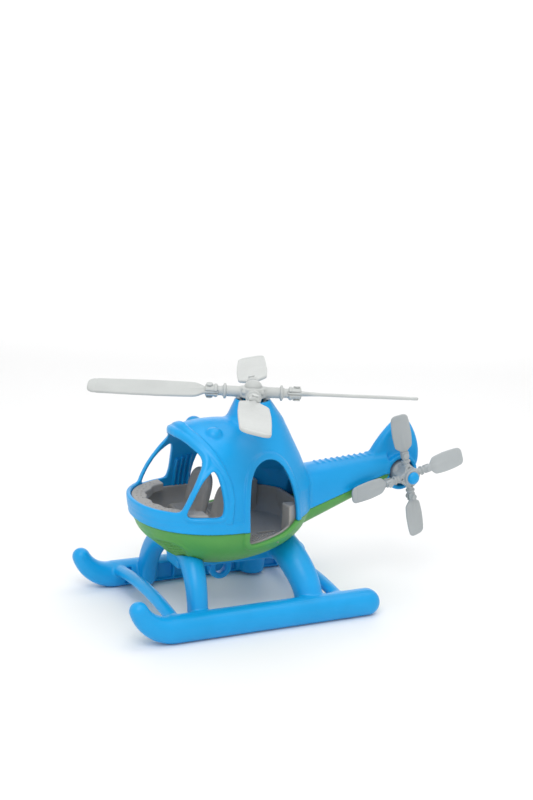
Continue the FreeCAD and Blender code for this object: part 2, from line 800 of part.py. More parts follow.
def main_pin(k):
    """The pin that locks a main blade in its grip, with a round head over and under the grip."""
    turn, z = blade_turn(k), size("rotor_height")
    reach, arm = size("pin_reach"), size("arm_radius")

    def at(height):
        return tuple(turn.multVec(Vector(reach, 0, height)) + Vector(0, 0, z))

    shank = primitive("Cylinder", f"main_pin_shank_{k}", at(-arm), turn,
                      Radius="sizes.pin_radius", Height="2 * sizes.arm_radius")
    heads = [primitive("Cylinder", f"main_pin_head_{k}_{n}", at(h), turn,
                       Radius="sizes.pin_head_radius", Height="sizes.pin_head_height")
             for n, h in enumerate((arm, -arm - size("pin_head_height")))]
    return fuse(f"main_pin_{k}_solid", shank, *heads)


def hub_cap():
    """The smooth dome on top of the hub."""
    return primitive("Ellipsoid", "hub_cap_dome", (0, 0, size("rotor_height") + size("hub_height") / 2),
                     Radius1="sizes.cap_height", Radius2="sizes.cap_radius",
                     Radius3="sizes.cap_radius", Angle1="0", Angle2="90")


def bush_bottom():
    return deck_underside() - size("bush_length")


def deck_underside():
    """The lower face of the plate that closes the mast's well."""
    return size("mast_top") - size("mast_well_depth") - size("shell_wall")


def rotor_shaft():
    """The spindle that hangs from the hub through the bush."""
    top = size("rotor_height") + size("hub_height") / 2
    low = bush_bottom() - size("gap") - size("clip_thickness") - 2.0
    shaft = primitive("Cylinder", "shaft_rod", (0, 0, low), Radius="sizes.shaft_radius")
    shaft.Height = top - low
    return shaft


def mast_bush():
    """The plain bearing in the mast's deck, with a flange under the deck."""
    low, deck = bush_bottom(), deck_underside()
    sleeve = primitive("Cylinder", "bush_sleeve", (0, 0, low),
                       Radius="sizes.shaft_radius + sizes.shaft_clearance + sizes.bush_wall")
    sleeve.Height = deck + size("shell_wall") - low
    flange = primitive("Cylinder", "bush_flange", (0, 0, deck - 2),
                       Radius="sizes.shaft_radius + sizes.shaft_clearance + sizes.bush_wall + 2.5", Height="2")
    bore = primitive("Cylinder", "bush_bore", (0, 0, low - 1),
                     Radius="sizes.shaft_radius + sizes.shaft_clearance")
    bore.Height = 40
    return cut("bush", fuse("bush_solid", sleeve, flange), bore)


def shaft_clip():
    """The ring snapped on the spindle's foot, which keeps the rotor from lifting out."""
    top = bush_bottom() - size("gap")
    ring = primitive("Cylinder", "clip_ring", (0, 0, top - size("clip_thickness")),
                     Radius="sizes.clip_radius", Height="sizes.clip_thickness")
    hole = primitive("Cylinder", "clip_hole", (0, 0, top - 20), Radius="sizes.shaft_radius", Height="40")
    return cut("clip", ring, hole)


# ------------------------------------------------------------------ tail rotor


def tail_spot(x, y, z):
    """A point given about the tail axle (x, y across it, z along it towards port)."""
    return Placement(Vector(size("cup_x"), 0, size("cup_z")), LYING_Y).multVec(Vector(x, y, z))


def tail_turn(k):
    """The rest attitude of tail blade k."""
    heading = Rotation(Vector(0, 0, 1), size("tail_phase") + 90 * (k - 1))
    pitch = Rotation(Vector(1, 0, 0), -size("tail_pitch"))
    return LYING_Y.multiply(heading).multiply(pitch)


def tail_hub():
    """The tail rotor's hub: a drum in the cup, a nose to port and four slotted grips."""
    back, front, plane = size("tail_hub_back"), size("tail_hub_front"), size("tail_plane_y")
    drum = primitive("Cylinder", "tail_drum", tuple(tail_spot(0, 0, back)), LYING_Y,
                     Radius="sizes.tail_hub_radius", Height="sizes.tail_hub_front - sizes.tail_hub_back")
    nose = primitive("Cylinder", "tail_nose", tuple(tail_spot(0, 0, front)), LYING_Y,
                     Radius="sizes.tail_nose_radius", Height="sizes.tail_nose_length")
    pieces, cuts = [drum, nose], []
    for k in range(1, 5):
        along = tail_turn(k).multiply(Rotation(Vector(0, 1, 0), 90))
        pieces.append(primitive("Cylinder", f"tail_grip_{k}", tuple(tail_spot(0, 0, plane)), along,
                                Radius="sizes.tail_arm_radius", Height="sizes.tail_arm_length"))
        turn = tail_turn(k)
        slot = primitive("Box", f"tail_slot_{k}", (0, 0, 0), turn, Length="sizes.tail_arm_length",
                         Width="2 * sizes.tail_arm_radius + 2", Height="sizes.tail_thickness")
        corner = turn.multVec(Vector(size("tail_root"), -size("tail_arm_radius") - 1,
                                     -size("tail_thickness") / 2))
        slot.Placement = Placement(corner + tail_spot(0, 0, plane), turn)
        cuts += [slot, tail_pin_hole(f"tail_hub_hole_{k}", k)]
    bore = primitive("Cylinder", "tail_bore", tuple(tail_spot(0, 0, back - 1)), LYING_Y,
                     Radius="sizes.tail_axle_radius + sizes.shaft_clearance", Height="60")
    return cut("tail_hub_cut", fuse("tail_hub_solid", *pieces), fuse("tail_hub_cuts", bore, *cuts))


def tail_pin_hole(name, k):
    turn = tail_turn(k)
    hole = primitive("Cylinder", name, (0, 0, 0), turn, Radius="sizes.tail_pin_radius", Height="20")
    foot = turn.multVec(Vector(size("tail_pin_reach"), 0, -10)) + tail_spot(0, 0, size("tail_plane_y"))
    hole.Placement = Placement(foot, turn)
    return hole


def tail_blade(k):
    """One paddle of the tail rotor, its neck held in the grip's slot."""
    name = f"tail_blade_{k}"
    body = blade_body(name, "tail_", size("tail_root"), size("tail_radius"))
    body.Placement = Placement(tail_spot(0, 0, size("tail_plane_y")), tail_turn(k))
    return cut(name, body, tail_pin_hole(name + "_hole", k))


def tail_pin(k):
    """The pin that locks a tail blade in its grip."""
    turn = tail_turn(k)
    arm, head = size("tail_arm_radius"), size("tail_pin_head_height")

    def at(height):
        return tuple(turn.multVec(Vector(size("tail_pin_reach"), 0, height))
                     + tail_spot(0, 0, size("tail_plane_y")))

    shank = primitive("Cylinder", f"tail_pin_shank_{k}", at(-arm), turn,
                      Radius="sizes.tail_pin_radius", Height="2 * sizes.tail_arm_radius")
    heads = [primitive("Cylinder", f"tail_pin_head_{k}_{n}", at(h), turn,
                       Radius="sizes.tail_pin_head_radius", Height="sizes.tail_pin_head_height")
             for n, h in enumerate((arm, -arm - head))]
    return fuse(f"tail_pin_{k}_solid", shank, *heads)


def tail_axle():
    """The fixed peg that the tail hub turns on, pressed into the back of the cup."""
    low = size("cup_back_y") + 5
    high = size("tail_hub_front") + size("tail_nose_length") + size("gap")
    rod = primitive("Cylinder", "tail_axle_rod", tuple(tail_spot(0, 0, low)), LYING_Y,
                    Radius="sizes.tail_axle_radius")
    rod.Height = high - low
    return rod


def tail_cap():
    """The domed cap on the end of the tail axle, which keeps the hub on."""
    y = size("tail_hub_front") + size("tail_nose_length") + size("gap")
    return primitive("Ellipsoid", "tail_cap_dome", tuple(tail_spot(0, 0, y)), LYING_Y,
                     Radius1="sizes.tail_cap_height", Radius2="sizes.tail_cap_radius",
                     Radius3="sizes.tail_cap_radius", Angle1="0", Angle2="90")


# --------------------------------------------------------------------- assembly


def trimmed(name, base, *others):
    """A piece cut back to the faces of the pieces it meets."""
    return cut(name + "_trimmed", base, fuse(name + "_neighbours", *others) if len(others) > 1 else others[0])


def landing_gear(belly):
    """Runners, legs, bows, saddle and ring, each cut back to its neighbours."""
    runners = {side: skid(side, sign) for side, sign in (("port", 1), ("starboard", -1))}
    plate = shape_feature("saddle_plate", saddle())
    hoop = belly_ring()
    doc.recompute()
    tools = {side: twin(runner) for side, runner in runners.items()}
    keep("saddle", plate)
    keep("belly_ring", trimmed("ring", hoop, twin(plate)))
    for side, sign in (("port", 1), ("starboard", -1)):
        for end in ("front", "rear"):
            top = (size(f"{end}_leg_top_x"), sign * size("leg_top_y"), size(f"{end}_leg_top_z"))
            foot = (size(f"{end}_leg_foot_x"), sign * size("leg_foot_y"), size("leg_foot_z"))
            arc = leg(f"{side}_{end}_leg", end, top, foot)
            keep(f"{side}_{end}_leg", trimmed(f"{side}_{end}_leg", arc, tools[side], twin(plate), belly))
    for end in ("front", "rear"):
        rod = bow(f"{end}_bow", size(f"{end}_bow_x"))
        keep(f"{end}_bow", trimmed(f"{end}_bow", rod, *tools.values()))
    for side, runner in runners.items():
        keep(f"{side}_skid", runner)


def twin(feature):
    """An unplaced copy of a computed solid, to cut a neighbour with."""
    return shape_feature(feature.Name + "_copy", feature.Shape.copy())


def build():
    """Makes every sub-part."""
    keep("upper_shell", shape_feature("upper", upper_shell()))
    keep("lower_shell", shape_feature("lower", lower_shell()))
    keep("cabin_tray", shape_feature("deck", tray()))
    keep("dashboard", shape_feature("ledge", dashboard()))
    for side, sign in (("port", 1), ("starboard", -1)):
        keep(f"{side}_seat", seat(side, sign))
    landing_gear(shape_feature("belly", egg(0.0)))
    keep("mast_bush", mast_bush())
    keep("rotor_shaft", rotor_shaft())
    keep("shaft_clip", shaft_clip())
    keep("main_hub", main_hub())
    keep("hub_cap", hub_cap())
    keep("tail_axle", tail_axle())
    keep("tail_hub", tail_hub())
    keep("tail_cap", tail_cap())
    for k in range(1, 5):
        keep(f"main_blade_{k}", main_blade(k))
        keep(f"main_pin_{k}", main_pin(k))
        keep(f"tail_blade_{k}", tail_blade(k))
        keep(f"tail_pin_{k}", tail_pin(k))
    doc.recompute()


def check():
    """Stops if any object failed or any sub-part isn't one valid closed solid."""
    for thing in doc.Objects:
        if "Invalid" in thing.State or "Error" in thing.State:
            raise RuntimeError(f"{thing.Name} failed: {thing.State}")
    for name, thing in NODES.items():
        shape = thing.Shape
        if shape.isNull() or not shape.isValid() or len(shape.Solids) != 1:
            raise RuntimeError(f"{name} isn't one valid solid: {len(shape.Solids)}")


def write():
    os.makedirs("parts", exist_ok=True)
    for name, thing in NODES.items():
        thing.Shape.exportStep(f"parts/{name}.step")
        box_of = thing.Shape.optimalBoundingBox()
        print(f"{name:20s} {thing.Shape.Volume:10.0f} mm3  x {box_of.XMin:7.1f} {box_of.XMax:7.1f}"
              f"  y {box_of.YMin:7.1f} {box_of.YMax:7.1f}  z {box_of.ZMin:7.1f} {box_of.ZMax:7.1f}")


build()
check()
write()
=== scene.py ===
"""The toy helicopter's looks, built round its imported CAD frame.

Lengths in the modelling code are millimetres about the main rotor's mast axis, as in the CAD part:
+X is the nose, +Y is port and the floor is z = 0. A mesh is made in metres in the frame's own place.
The moulded pieces are signed distance fields, turned into meshes of even quads.
"""

import json
import math

import bpy
import numpy as np
from mathutils import Matrix, Vector


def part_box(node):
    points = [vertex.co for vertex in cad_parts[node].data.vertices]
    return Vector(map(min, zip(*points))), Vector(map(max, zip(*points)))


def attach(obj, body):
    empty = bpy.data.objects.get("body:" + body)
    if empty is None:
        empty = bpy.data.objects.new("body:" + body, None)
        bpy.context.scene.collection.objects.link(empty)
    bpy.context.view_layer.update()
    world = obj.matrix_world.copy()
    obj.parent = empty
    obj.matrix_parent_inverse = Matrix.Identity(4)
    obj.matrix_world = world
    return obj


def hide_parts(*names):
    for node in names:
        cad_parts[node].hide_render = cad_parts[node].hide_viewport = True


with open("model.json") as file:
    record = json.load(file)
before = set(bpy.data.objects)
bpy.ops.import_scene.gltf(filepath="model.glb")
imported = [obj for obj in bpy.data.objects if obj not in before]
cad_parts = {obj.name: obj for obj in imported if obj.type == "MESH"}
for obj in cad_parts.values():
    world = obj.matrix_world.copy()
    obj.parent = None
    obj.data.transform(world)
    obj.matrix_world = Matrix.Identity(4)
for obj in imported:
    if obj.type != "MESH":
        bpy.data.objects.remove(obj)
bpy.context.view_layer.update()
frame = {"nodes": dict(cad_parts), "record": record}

MM = 0.001
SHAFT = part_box("rotor_shaft")
MAST_X = (SHAFT[0][0] + SHAFT[1][0]) / 2 / MM

# ------------------------------------------------------------- driving sizes

CABIN_X, HALF_WIDTH = 30.0, 56.0
PARTING, KEEL, ROOF = 75.0, 38.6, 147.5
NOSE_REACH, NOSE_Z, TAIL_REACH = 65.0, 92.0, 76.5
UPPER_POWER, LOWER_POWER = 1.85, 2.0
NOSE_UPPER_POWER, NOSE_LOWER_POWER, TAIL_POWER = 2.2, 2.0, 2.0
PLAN_FRONT_POWER, PLAN_REAR_POWER = 2.2, 2.0
WALL = 2.4

MAST_TOP, MAST_LIP = 160.2, 0.8
MAST_ROOM_TOP = 149.8
WELL_R, WELL_FLOOR = 11.6, 152.2
BUSH_R, BUSH_MIDDLE, BUSH_HALF = 6.1, 150.0, 4.0

BOOM_ROOT, BOOM_END = -46.0, -118.15
BOOM_HALF = (19.0, 11.5)
BOOM_TOP = (105.0, 109.5)
BOOM_BOTTOM = (59.5, 86.0)
BOOM_PARTING = (PARTING, 94.6)
BOOM_POWER = 2.3
BOOM_FRONT, BOOM_REAR, BOOM_ROOM_REAR = -30.0, -119.0, -112.0
BAR_COUNT, BAR_FIRST, BAR_STEP = 10, -58.0, 5.2
BAR_HALF, BAR_REACH, BAR_PROUD, BAR_SINK = 0.9, 4.2, 0.7, 2.0

CUP_X, CUP_Z, CUP_R, CUP_ROOM_R = -131.2, 93.8, 14.5, 11.4
CUP_MIDDLE_Y, CUP_HALF, CUP_FLOOR_Y = 0.75, 10.25, -1.0
FIN_HALF = 4.6

BOSS_X, BOSS_Y, BOSS_Z, BOSS_R = 40.0, 17.65, 138.3, 7.0
LIP_PROUD, LIP_EDGE = 1.7, (4.4, 5.6)
SILL_Z, SILL_HALF, SILL_PROUD, SILL_REAR = 85.6, 4.0, 0.5, 64.0
SCREEN_FOOT = 89.8
RIB_HALF, RIB_FOOT, RIB_DEPTH, RIB_INNER_Y = 0.8, 79.0, 2.4, 34.0
RIBS = ((28.6, 107), (32.4, 107), (36.2, 106), (40.0, 104), (-26.5, 101), (-30.3, 100), (-34.1, 98))

VENT_X, VENT_Z, VENT_TURN = 73.5, 57.0, (0.8, 0.6)
VENT_LONG, VENT_SHORT, VENT_DEPTH = 10.8, 5.2, 1.6
SLAT_PITCH, SLAT_HALF = 4.4, 0.95

TRACK, SKID_R, SKID_Z, SKID_POWER = 60.3, 10.1, 9.7, 2.3
SKID_REAR, SKID_KNEE, SKID_BEND, SKID_TURN, SKID_TAPER = -75.0, 86.0, 29.0, math.radians(66), 3.3
BAY_PITCH, BAY_START, BAY_RIB = 15.6, -72.0, 1.0
POCKET_INNER, POCKET_Z, POCKET_HALF_Z, POCKET_X, POCKET_HALF_X = 5.4, 9.6, 6.4, 4.0, 74.0
LEG_X = (62.5, -31.0)
LEG_FACE, LEG_FOOT = 68.0, 2.0
SADDLE = ((-35, -12, 35), (62, 12, 60))
SHELL_GAP = 0.15
BOW_X, BOW_Z, BOW_RISE, BOW_R, BOW_WIDEN = (83.0, -53.0), 13.0, 6.0, 4.1, 1.25
BOW_END = 58.0
RING_X, RING_Z, RING_MIDDLE_R, RING_HALF, RING_HALF_WIDTH, RING_HOLE_R = 22.0, 29.0, 6.9, 2.3, 3.6, 4.55
RING_TOP = 36.5

TRAY_SKIN, TRAY_WALL, TRAY_REAR = 2.7, 2.4, -38.0
DECK_Z, FLOOR_Z, RIM_Z = 58.4, 61.0, 81.0
POST_X, POST_HALF, POST_INNER_Y, POST_TOP = -18.5, 4.5, 29.0, 86.0
SLOT_HALF = 1.6
SLOTS = ((12, 12, 6.5), (-6, 22, 7.5), (12, -12, 6.5), (-6, -22, 7.5))
DASH_Z, DASH_HALF, DASH_WIDTH, DASH_REAR = 84.9, 3.4, 11.0, 55.0
DASH_WAVE, DASH_WAVE_LENGTH = 0.8, 13.0
SEAT_Y, SEAT_HALF, SEAT_TOP, SEAT_HALF_THICK = 24.0, 17.2, 101.0, 3.0
SEAT_FRONT_X, SEAT_RAKE, SEAT_BEHIND = 39.3, 0.23, 3.2
CUSHION = ((31, -17, 60), (50, 17, 70.4))

ROTOR_Z, ROTOR_PHASE, ROTOR_PITCH = 165.65, -25.4, -12.0
HUB_R, HUB_HALF, ARM_LENGTH, BLADE_ROOT = 10.0, 3.9, 36.4, 26.0
HUB_STEP_R, HUB_STEP_HALF, ARM_R, BLADE_SLOT_HALF, SHAFT_BORE_R = 8.2, 4.0, 4.1, 1.25, 4.02
LINK_FOOT, LINK_REACH, LINK_R = 153.4, 9.4, 1.5
EYE_REACH, EYE_R, EYE_Z, EYE_HALF = 10.6, 2.4, 161.2, 1.0
FLANGE_R, FLANGE_Z, FLANGE_HALF = 10.8, 154.4, 1.2
STUD_REACH, STUD_R = 9.6, 1.9
TAIL_Y, TAIL_PHASE, TAIL_PITCH = 20.0, 14.3, -10.0
TAIL_HUB_R, TAIL_HUB_MIDDLE, TAIL_HUB_HALF = 9.2, 14.0, 10.0
TAIL_NOSE_R, TAIL_NOSE_MIDDLE, TAIL_NOSE_HALF = 6.3, 24.6, 3.0
TAIL_ARM_R, TAIL_ARM_LENGTH, TAIL_ROOT, TAIL_SLOT_HALF, TAIL_BORE_R = 2.7, 21.0, 13.5, 0.95, 2.56
DIMPLE_REACH, DIMPLE_R, DIMPLE_FLOOR = 7.7, 0.85, 22.6

CAMERA_AZIMUTH, CAMERA_ELEVATION, CAMERA_ROLL = 152.64, 13.46, 2.85
CAMERA_AIM_X, CAMERA_AIM_Z, CAMERA_RANGE, CAMERA_LENS = -11.71, 158.59, 1.09851, 65.06

# ------------------------------------------------------------- field helpers


def soft_min(a, b, k):
    """The nearer of two solids, blended over a width k where they meet."""
    h = np.clip(0.5 + 0.5 * (b - a) / k, 0, 1)
    return b + (a - b) * h - k * h * (1 - h)


def soft_max(a, b, k):
    """What two solids share, its new edges softened over a width k."""
    return -soft_min(-a, -b, k)


def ramp(low, high, value):
    """Climbs smoothly from 0 at low to 1 at high."""
    t = np.clip((value - low) / (high - low), 0, 1)
    return t * t * (3 - 2 * t)


def smooth_loop(points, parts=5):
    """A closed outline through the points, rounded between them."""
    p = np.array(points, float)
    out = []
    for i in range(len(p)):
        a, b, c, d = p[i - 1], p[i], p[(i + 1) % len(p)], p[(i + 2) % len(p)]
        for t in np.arange(parts) / parts:
            out.append(0.5 * (2 * b + (c - a) * t + (2 * a - 5 * b + 4 * c - d) * t * t
                              + (3 * b - a - 3 * c + d) * t ** 3))
    return np.array(out)


def outline(loop, u, v):
    """Distance to a closed outline in a plane, negative inside it."""
    best = np.full(np.broadcast(u, v).shape, 1e9)
    inside = np.zeros(best.shape, bool)
    for (ax, ay), (bx, by) in zip(loop, np.roll(loop, -1, axis=0)):
        ex, ey = bx - ax, by - ay
        wx, wy = u - ax, v - ay
        t = np.clip((wx * ex + wy * ey) / (ex * ex + ey * ey), 0, 1)
        best = np.minimum(best, (wx - ex * t) ** 2 + (wy - ey * t) ** 2)
        if ay != by:
            inside ^= ((ay > v) != (by > v)) & (u < ex * (v - ay) / ey + ax)
    return np.where(inside, -1, 1) * np.sqrt(best)


def rod(path, radii, x, y, z):
    """Distance to a bent tube that follows the points, with a radius at each."""
    best = 1e9
    for (a, b), (ra, rb) in zip(zip(path, path[1:]), zip(radii, radii[1:])):
        e = np.subtract(b, a)
        wx, wy, wz = x - a[0], y - a[1], z - a[2]
        t = np.clip((wx * e[0] + wy * e[1] + wz * e[2]) / e.dot(e), 0, 1)
        off_axis = np.sqrt((wx - e[0] * t) ** 2 + (wy - e[1] * t) ** 2 + (wz - e[2] * t) ** 2)
        best = np.minimum(best, off_axis - ra - (rb - ra) * t)
    return best


def brick(x, y, z, low, high, k):
    """Distance to a block between two corners, its edges softened by k."""
    dx = np.abs(x - (low[0] + high[0]) / 2) - (high[0] - low[0]) / 2
    dy = np.abs(y - (low[1] + high[1]) / 2) - (high[1] - low[1]) / 2
    dz = np.abs(z - (low[2] + high[2]) / 2) - (high[2] - low[2]) / 2
    return soft_max(soft_max(dx, dy, k), dz, k)


# ------------------------------------------------------- field to mesh


def net(field, low, high, cell):
    """Vertices and quads of the field's zero surface, one vertex to each crossed cell."""
    counts = [int(math.ceil((h - l) / cell)) + 1 for l, h in zip(low, high)]
    axes = [l + cell * np.arange(n) for l, n in zip(low, counts)]
    x, y, z = axes[0][:, None, None], axes[1][None, :, None], axes[2][None, None, :]
    value = np.broadcast_to(field(x, y, z), counts).astype(np.float32)
    solid = value < 0
    total = np.zeros([n - 1 for n in counts], np.int8)
    for i in (0, 1):
        for j in (0, 1):
            for k in (0, 1):
                total += solid[i:counts[0] - 1 + i, j:counts[1] - 1 + j, k:counts[2] - 1 + k]
    active = (total > 0) & (total < 8)
    cells = np.argwhere(active)
    number = np.full(active.shape, -1, np.int64)
    number[active] = np.arange(len(cells))
    place = np.zeros((len(cells), 3))
    hits = np.zeros(len(cells))
    for axis in range(3):
        step = np.eye(3, dtype=int)[axis]
        others = [a for a in range(3) if a != axis]
        for i in (0, 1):
            for j in (0, 1):
                start = cells.copy()
                start[:, others[0]] += i
                start[:, others[1]] += j
                va = value[tuple(start.T)]
                vb = value[tuple((start + step).T)]
                cross = (va < 0) != (vb < 0)
                t = va[cross] / (va[cross] - vb[cross])
                place[cross] += start[cross] + t[:, None] * step
                hits[cross] += 1
    place = np.array(low) + cell * place / hits[:, None]
    quads = []
    for axis in range(3):
        others = [(axis + 1) % 3, (axis + 2) % 3]
        near = [slice(1, n - 1) for n in counts]
        near[axis] = slice(0, counts[axis] - 1)
        far = list(near)
        far[axis] = slice(1, counts[axis])
        a, b = solid[tuple(near)], solid[tuple(far)]
        edges = np.argwhere(a != b)
        edge_in = a[a != b]
        edges += np.array([1 if i != axis else 0 for i in range(3)])
        corner = []
        for di, dj in ((-1, -1), (0, -1), (0, 0), (-1, 0)):
            c = edges.copy()
            c[:, others[0]] += di
            c[:, others[1]] += dj
            corner.append(number[tuple(c.T)])
        q = np.stack(corner, 1)
        q[~edge_in] = q[~edge_in][:, ::-1]
        quads.append(q)
    return place, np.concatenate(quads)


TETRA = np.array([(1, -1, -1), (-1, -1, 1), (-1, 1, -1), (1, 1, 1)], float)


def settle(field, points, cell, rounds=2):
    """Moves the vertices onto the field's own zero surface."""
    h = 0.25 * cell
    for _ in range(rounds):
        slope = np.zeros_like(points)
        mean = np.zeros(len(points))
        for e in TETRA:
            f = field(*(points + h * e).T)
            slope += f[:, None] * e / (4 * h)
            mean += f / 4
        size = np.maximum((slope ** 2).sum(1), 0.04)
        move = -(mean / size)[:, None] * slope
        length = np.linalg.norm(move, axis=1)
        points = points + move * np.minimum(1, 0.5 * cell / np.maximum(length, 1e-9))[:, None]
    return points


def mesh_object(name, points, faces):
    """A mesh object from points in the modelling frame."""
    data = bpy.data.meshes.new(name)
    placed = (np.asarray(points, float) + (MAST_X, 0, 0)) * MM
    faces = np.asarray(faces)
    data.vertices.add(len(placed))
    data.vertices.foreach_set("co", placed.astype(np.float32).ravel())
    width = faces.shape[1]
    data.loops.add(faces.size)
    data.loops.foreach_set("vertex_index", faces.astype(np.int32).ravel())
    data.polygons.add(len(faces))
    data.polygons.foreach_set("loop_start", np.arange(0, faces.size, width, dtype=np.int32))
    data.polygons.foreach_set("use_smooth", np.full(len(faces), True))
    data.update(calc_edges=True)
    data.validate()
    thing = bpy.data.objects.new(name, data)
    bpy.context.collection.objects.link(thing)
    return thing


def carve(name, field, low, high, cell, turn=None, shift=(0, 0, 0)):
    """A mesh of the field; turn and shift place one that was made about its own origin."""
    points, quads = net(field, low, high, cell)
    points = settle(field, points, cell)
    if turn is not None:
        points = points @ turn.T + shift
    return mesh_object(name, points, quads)


def about(axis, degrees):
    """A turn about x (0) or z (2) as a 3 x 3 matrix."""
    c, s = math.cos(math.radians(degrees)), math.sin(math.radians(degrees))
    if axis == 0:
        return np.array([(1, 0, 0), (0, c, -s), (0, s, c)])
    return np.array([(c, -s, 0), (s, c, 0), (0, 0, 1)])


def domes(name, spots, radius, height, sides=8):
    """Small round studs standing on the given spots, their feet a little sunk."""
    points, faces = [], []
    for x, y, z in spots:
        base = len(points)
        points.append((x, y, z + height))
        for wide, up in ((0.62, 0.72), (1.0, -0.35)):
            for k in range(sides):
                a = 2 * math.pi * k / sides
                reach = radius * wide
                points.append((x + reach * math.cos(a), y + reach * math.sin(a), z + height * up))
        ring, foot = base + 1, base + 1 + sides
        for k in range(sides):
            n = (k + 1) % sides
            faces.append((base, ring + k, ring + n))
            faces.append((ring + k, foot + k, foot + n))
            faces.append((ring + k, foot + n, ring + n))
        for k in range(1, sides - 1):
            faces.append((foot, foot + k + 1, foot + k))
    return mesh_object(name, points, faces)


# ------------------------------------------------------------ the cabin's egg


def share(s, power):
    """How much of the full width is left at a share s of the way to the top or the keel."""
    return np.maximum(1 - np.clip(np.abs(s), 0, 0.998) ** power, 1e-9) ** (1 / power)


def egg(x, y, z, inset=0.0):
    """Distance to the cabin's egg, moved in by inset."""
    keel, roof = KEEL + inset, ROOF - inset
    above = z > PARTING
    s = np.where(above, (z - PARTING) / (roof - PARTING), (PARTING - z) / (PARTING - keel))
    high = z > NOSE_Z
    n = np.where(high, (z - NOSE_Z) / (roof - NOSE_Z), (NOSE_Z - z) / (NOSE_Z - keel))
    power = np.where(above, UPPER_POWER, LOWER_POWER)
    side = share(s, power)
    nose = np.where(high, share(n, NOSE_UPPER_POWER), share(n, NOSE_LOWER_POWER))
    u = x - CABIN_X
    front = u > 0
    ahead = (NOSE_REACH - inset) * nose / side
    behind = (TAIL_REACH - inset) * share(s, TAIL_POWER) / side
    reach = np.where(front, ahead, behind)
    plan = np.where(front, PLAN_FRONT_POWER, PLAN_REAR_POWER)
    r = ((np.abs(u) / reach) ** plan + (np.abs(y) / (HALF_WIDTH - inset)) ** plan) ** (1 / plan)
    f = (r ** power + np.abs(s) ** power) ** (1 / power)
    q = np.sqrt(u * u + y * y + (z - PARTING) ** 2)
    return q * (1 - 1 / np.maximum(f, 1e-3))


def on_wall(angle, z, inset):
    """The point at a height where the egg moved in by inset meets a ray from its middle."""
    c, s = math.cos(math.radians(angle)), math.sin(math.radians(angle))
    near, far = 5.0, 90.0
    for _ in range(30):
        middle = (near + far) / 2
        if float(egg(np.float64(CABIN_X + middle * c), middle * s, np.float64(z), inset)) < 0:
            near = middle
        else:
            far = middle
    return CABIN_X + near * c, near * s, z


def mast(x, y, z, inset=0.0):
    """Distance to the fairing that rises from the roof round the mast."""
    rear = np.interp(z, [95, 105, 117, 128, 146, 158.5, 160.2], [49, 45, 39.6, 33.7, 24.2, 14.7, 13.6])
    front = np.interp(z, [95, 147, 160.2], [36, 18.4, 13.6])
    side = np.interp(z, [95, 147, 160.2], [40, 20.6, 13.6])
    along = np.where(x > 0, front, rear) - inset
    side = side - inset
    q = np.sqrt(x * x + y * y)
    r = np.sqrt((x / along) ** 2 + (y / side) ** 2)
    return soft_max(q * (1 - 1 / np.maximum(r, 1e-3)) * 0.9, z - MAST_TOP, MAST_LIP)


def boom_share(x):
    return (x - BOOM_ROOT) / (BOOM_END - BOOM_ROOT)


def between(ends, t):
    """The value a share t of the way from the boom's root to its end."""
    return ends[0] + t * (ends[1] - ends[0])


def joint_z(x):
    """Height of the joint between the two shells."""
    return between(BOOM_PARTING, np.clip(boom_share(x), 0, 1))


def boom(x, y, z, inset=0.0):
    """Distance to the tail boom."""
    t = np.clip(boom_share(x), -0.25, 1.1)
    half = between(BOOM_HALF, t) - inset
    top = between(BOOM_TOP, t) - inset
    bottom = between(BOOM_BOTTOM, t) + inset
    middle = between(BOOM_PARTING, t)
    tall = np.where(z > middle, top - middle, middle - bottom)
    r = ((np.abs(y) / half) ** BOOM_POWER + (np.abs(z - middle) / tall) ** BOOM_POWER) ** (1 / BOOM_POWER)
    q = np.sqrt(y * y + (z - middle) ** 2)
    d = q * (1 - 1 / np.maximum(r, 1e-3))
    return np.maximum(np.maximum(d, x - BOOM_FRONT), BOOM_REAR - x)


# ------------------------------------------------------------------ outlines

# Side views (x, z), counted round each opening or plate.
DOOR = smooth_loop([
    (25, 72), (25, 91), (22.9, 105), (20.2, 112.8), (14.6, 119.4), (6.2, 122.5), (-2.5, 121.5),
    (-9.4, 117.1), (-13.8, 110.3), (-17.1, 101.4), (-19.6, 90), (-20.6, 80), (-19.5, 74.6),
    (-7.8, 68.6), (4.4, 65.9), (14.8, 64), (21, 63.8), (24.2, 66.5)])
WINDOW = smooth_loop([
    (50.0, 118.8), (55.4, 115), (59.4, 110.8), (63.0, 105.5), (67.0, 98.5), (70.2, 92), (70.8, 89),
    (68.4, 87.2), (57, 87.3), (49, 87.6), (46.2, 89.6), (45, 96.5), (45.6, 106.8), (47.1, 115.4)])
FIN = smooth_loop([
    (-100, 101), (-104.8, 107.4), (-110.5, 116), (-115.6, 122.8), (-122, 129.8), (-127.5, 134.6),
    (-132.6, 137.2), (-137, 136.2), (-141.2, 132.4), (-146, 124.6), (-149.4, 116.2), (-151.2, 107),
    (-150.6, 98), (-146, 92), (-130, 90), (-112, 93)])


def screen(x, y, z):
    """Distance to the windscreen's edge, negative inside the opening."""
    side = np.interp(z, [80, 89.4, 103.5, 116.8, 126.8, 140], [78.5, 74.6, 67.5, 59.6, 53.2, 45])
    top = np.interp(np.abs(y), [0, 6, 13.3, 22.4, 34.1, 50], [67.2, 66.6, 64.2, 60.2, 53.2, 42])
    return soft_max(soft_max((side - x) * 0.87, (top - x) * 0.82, 5.0), SCREEN_FOOT - z, 3.0)


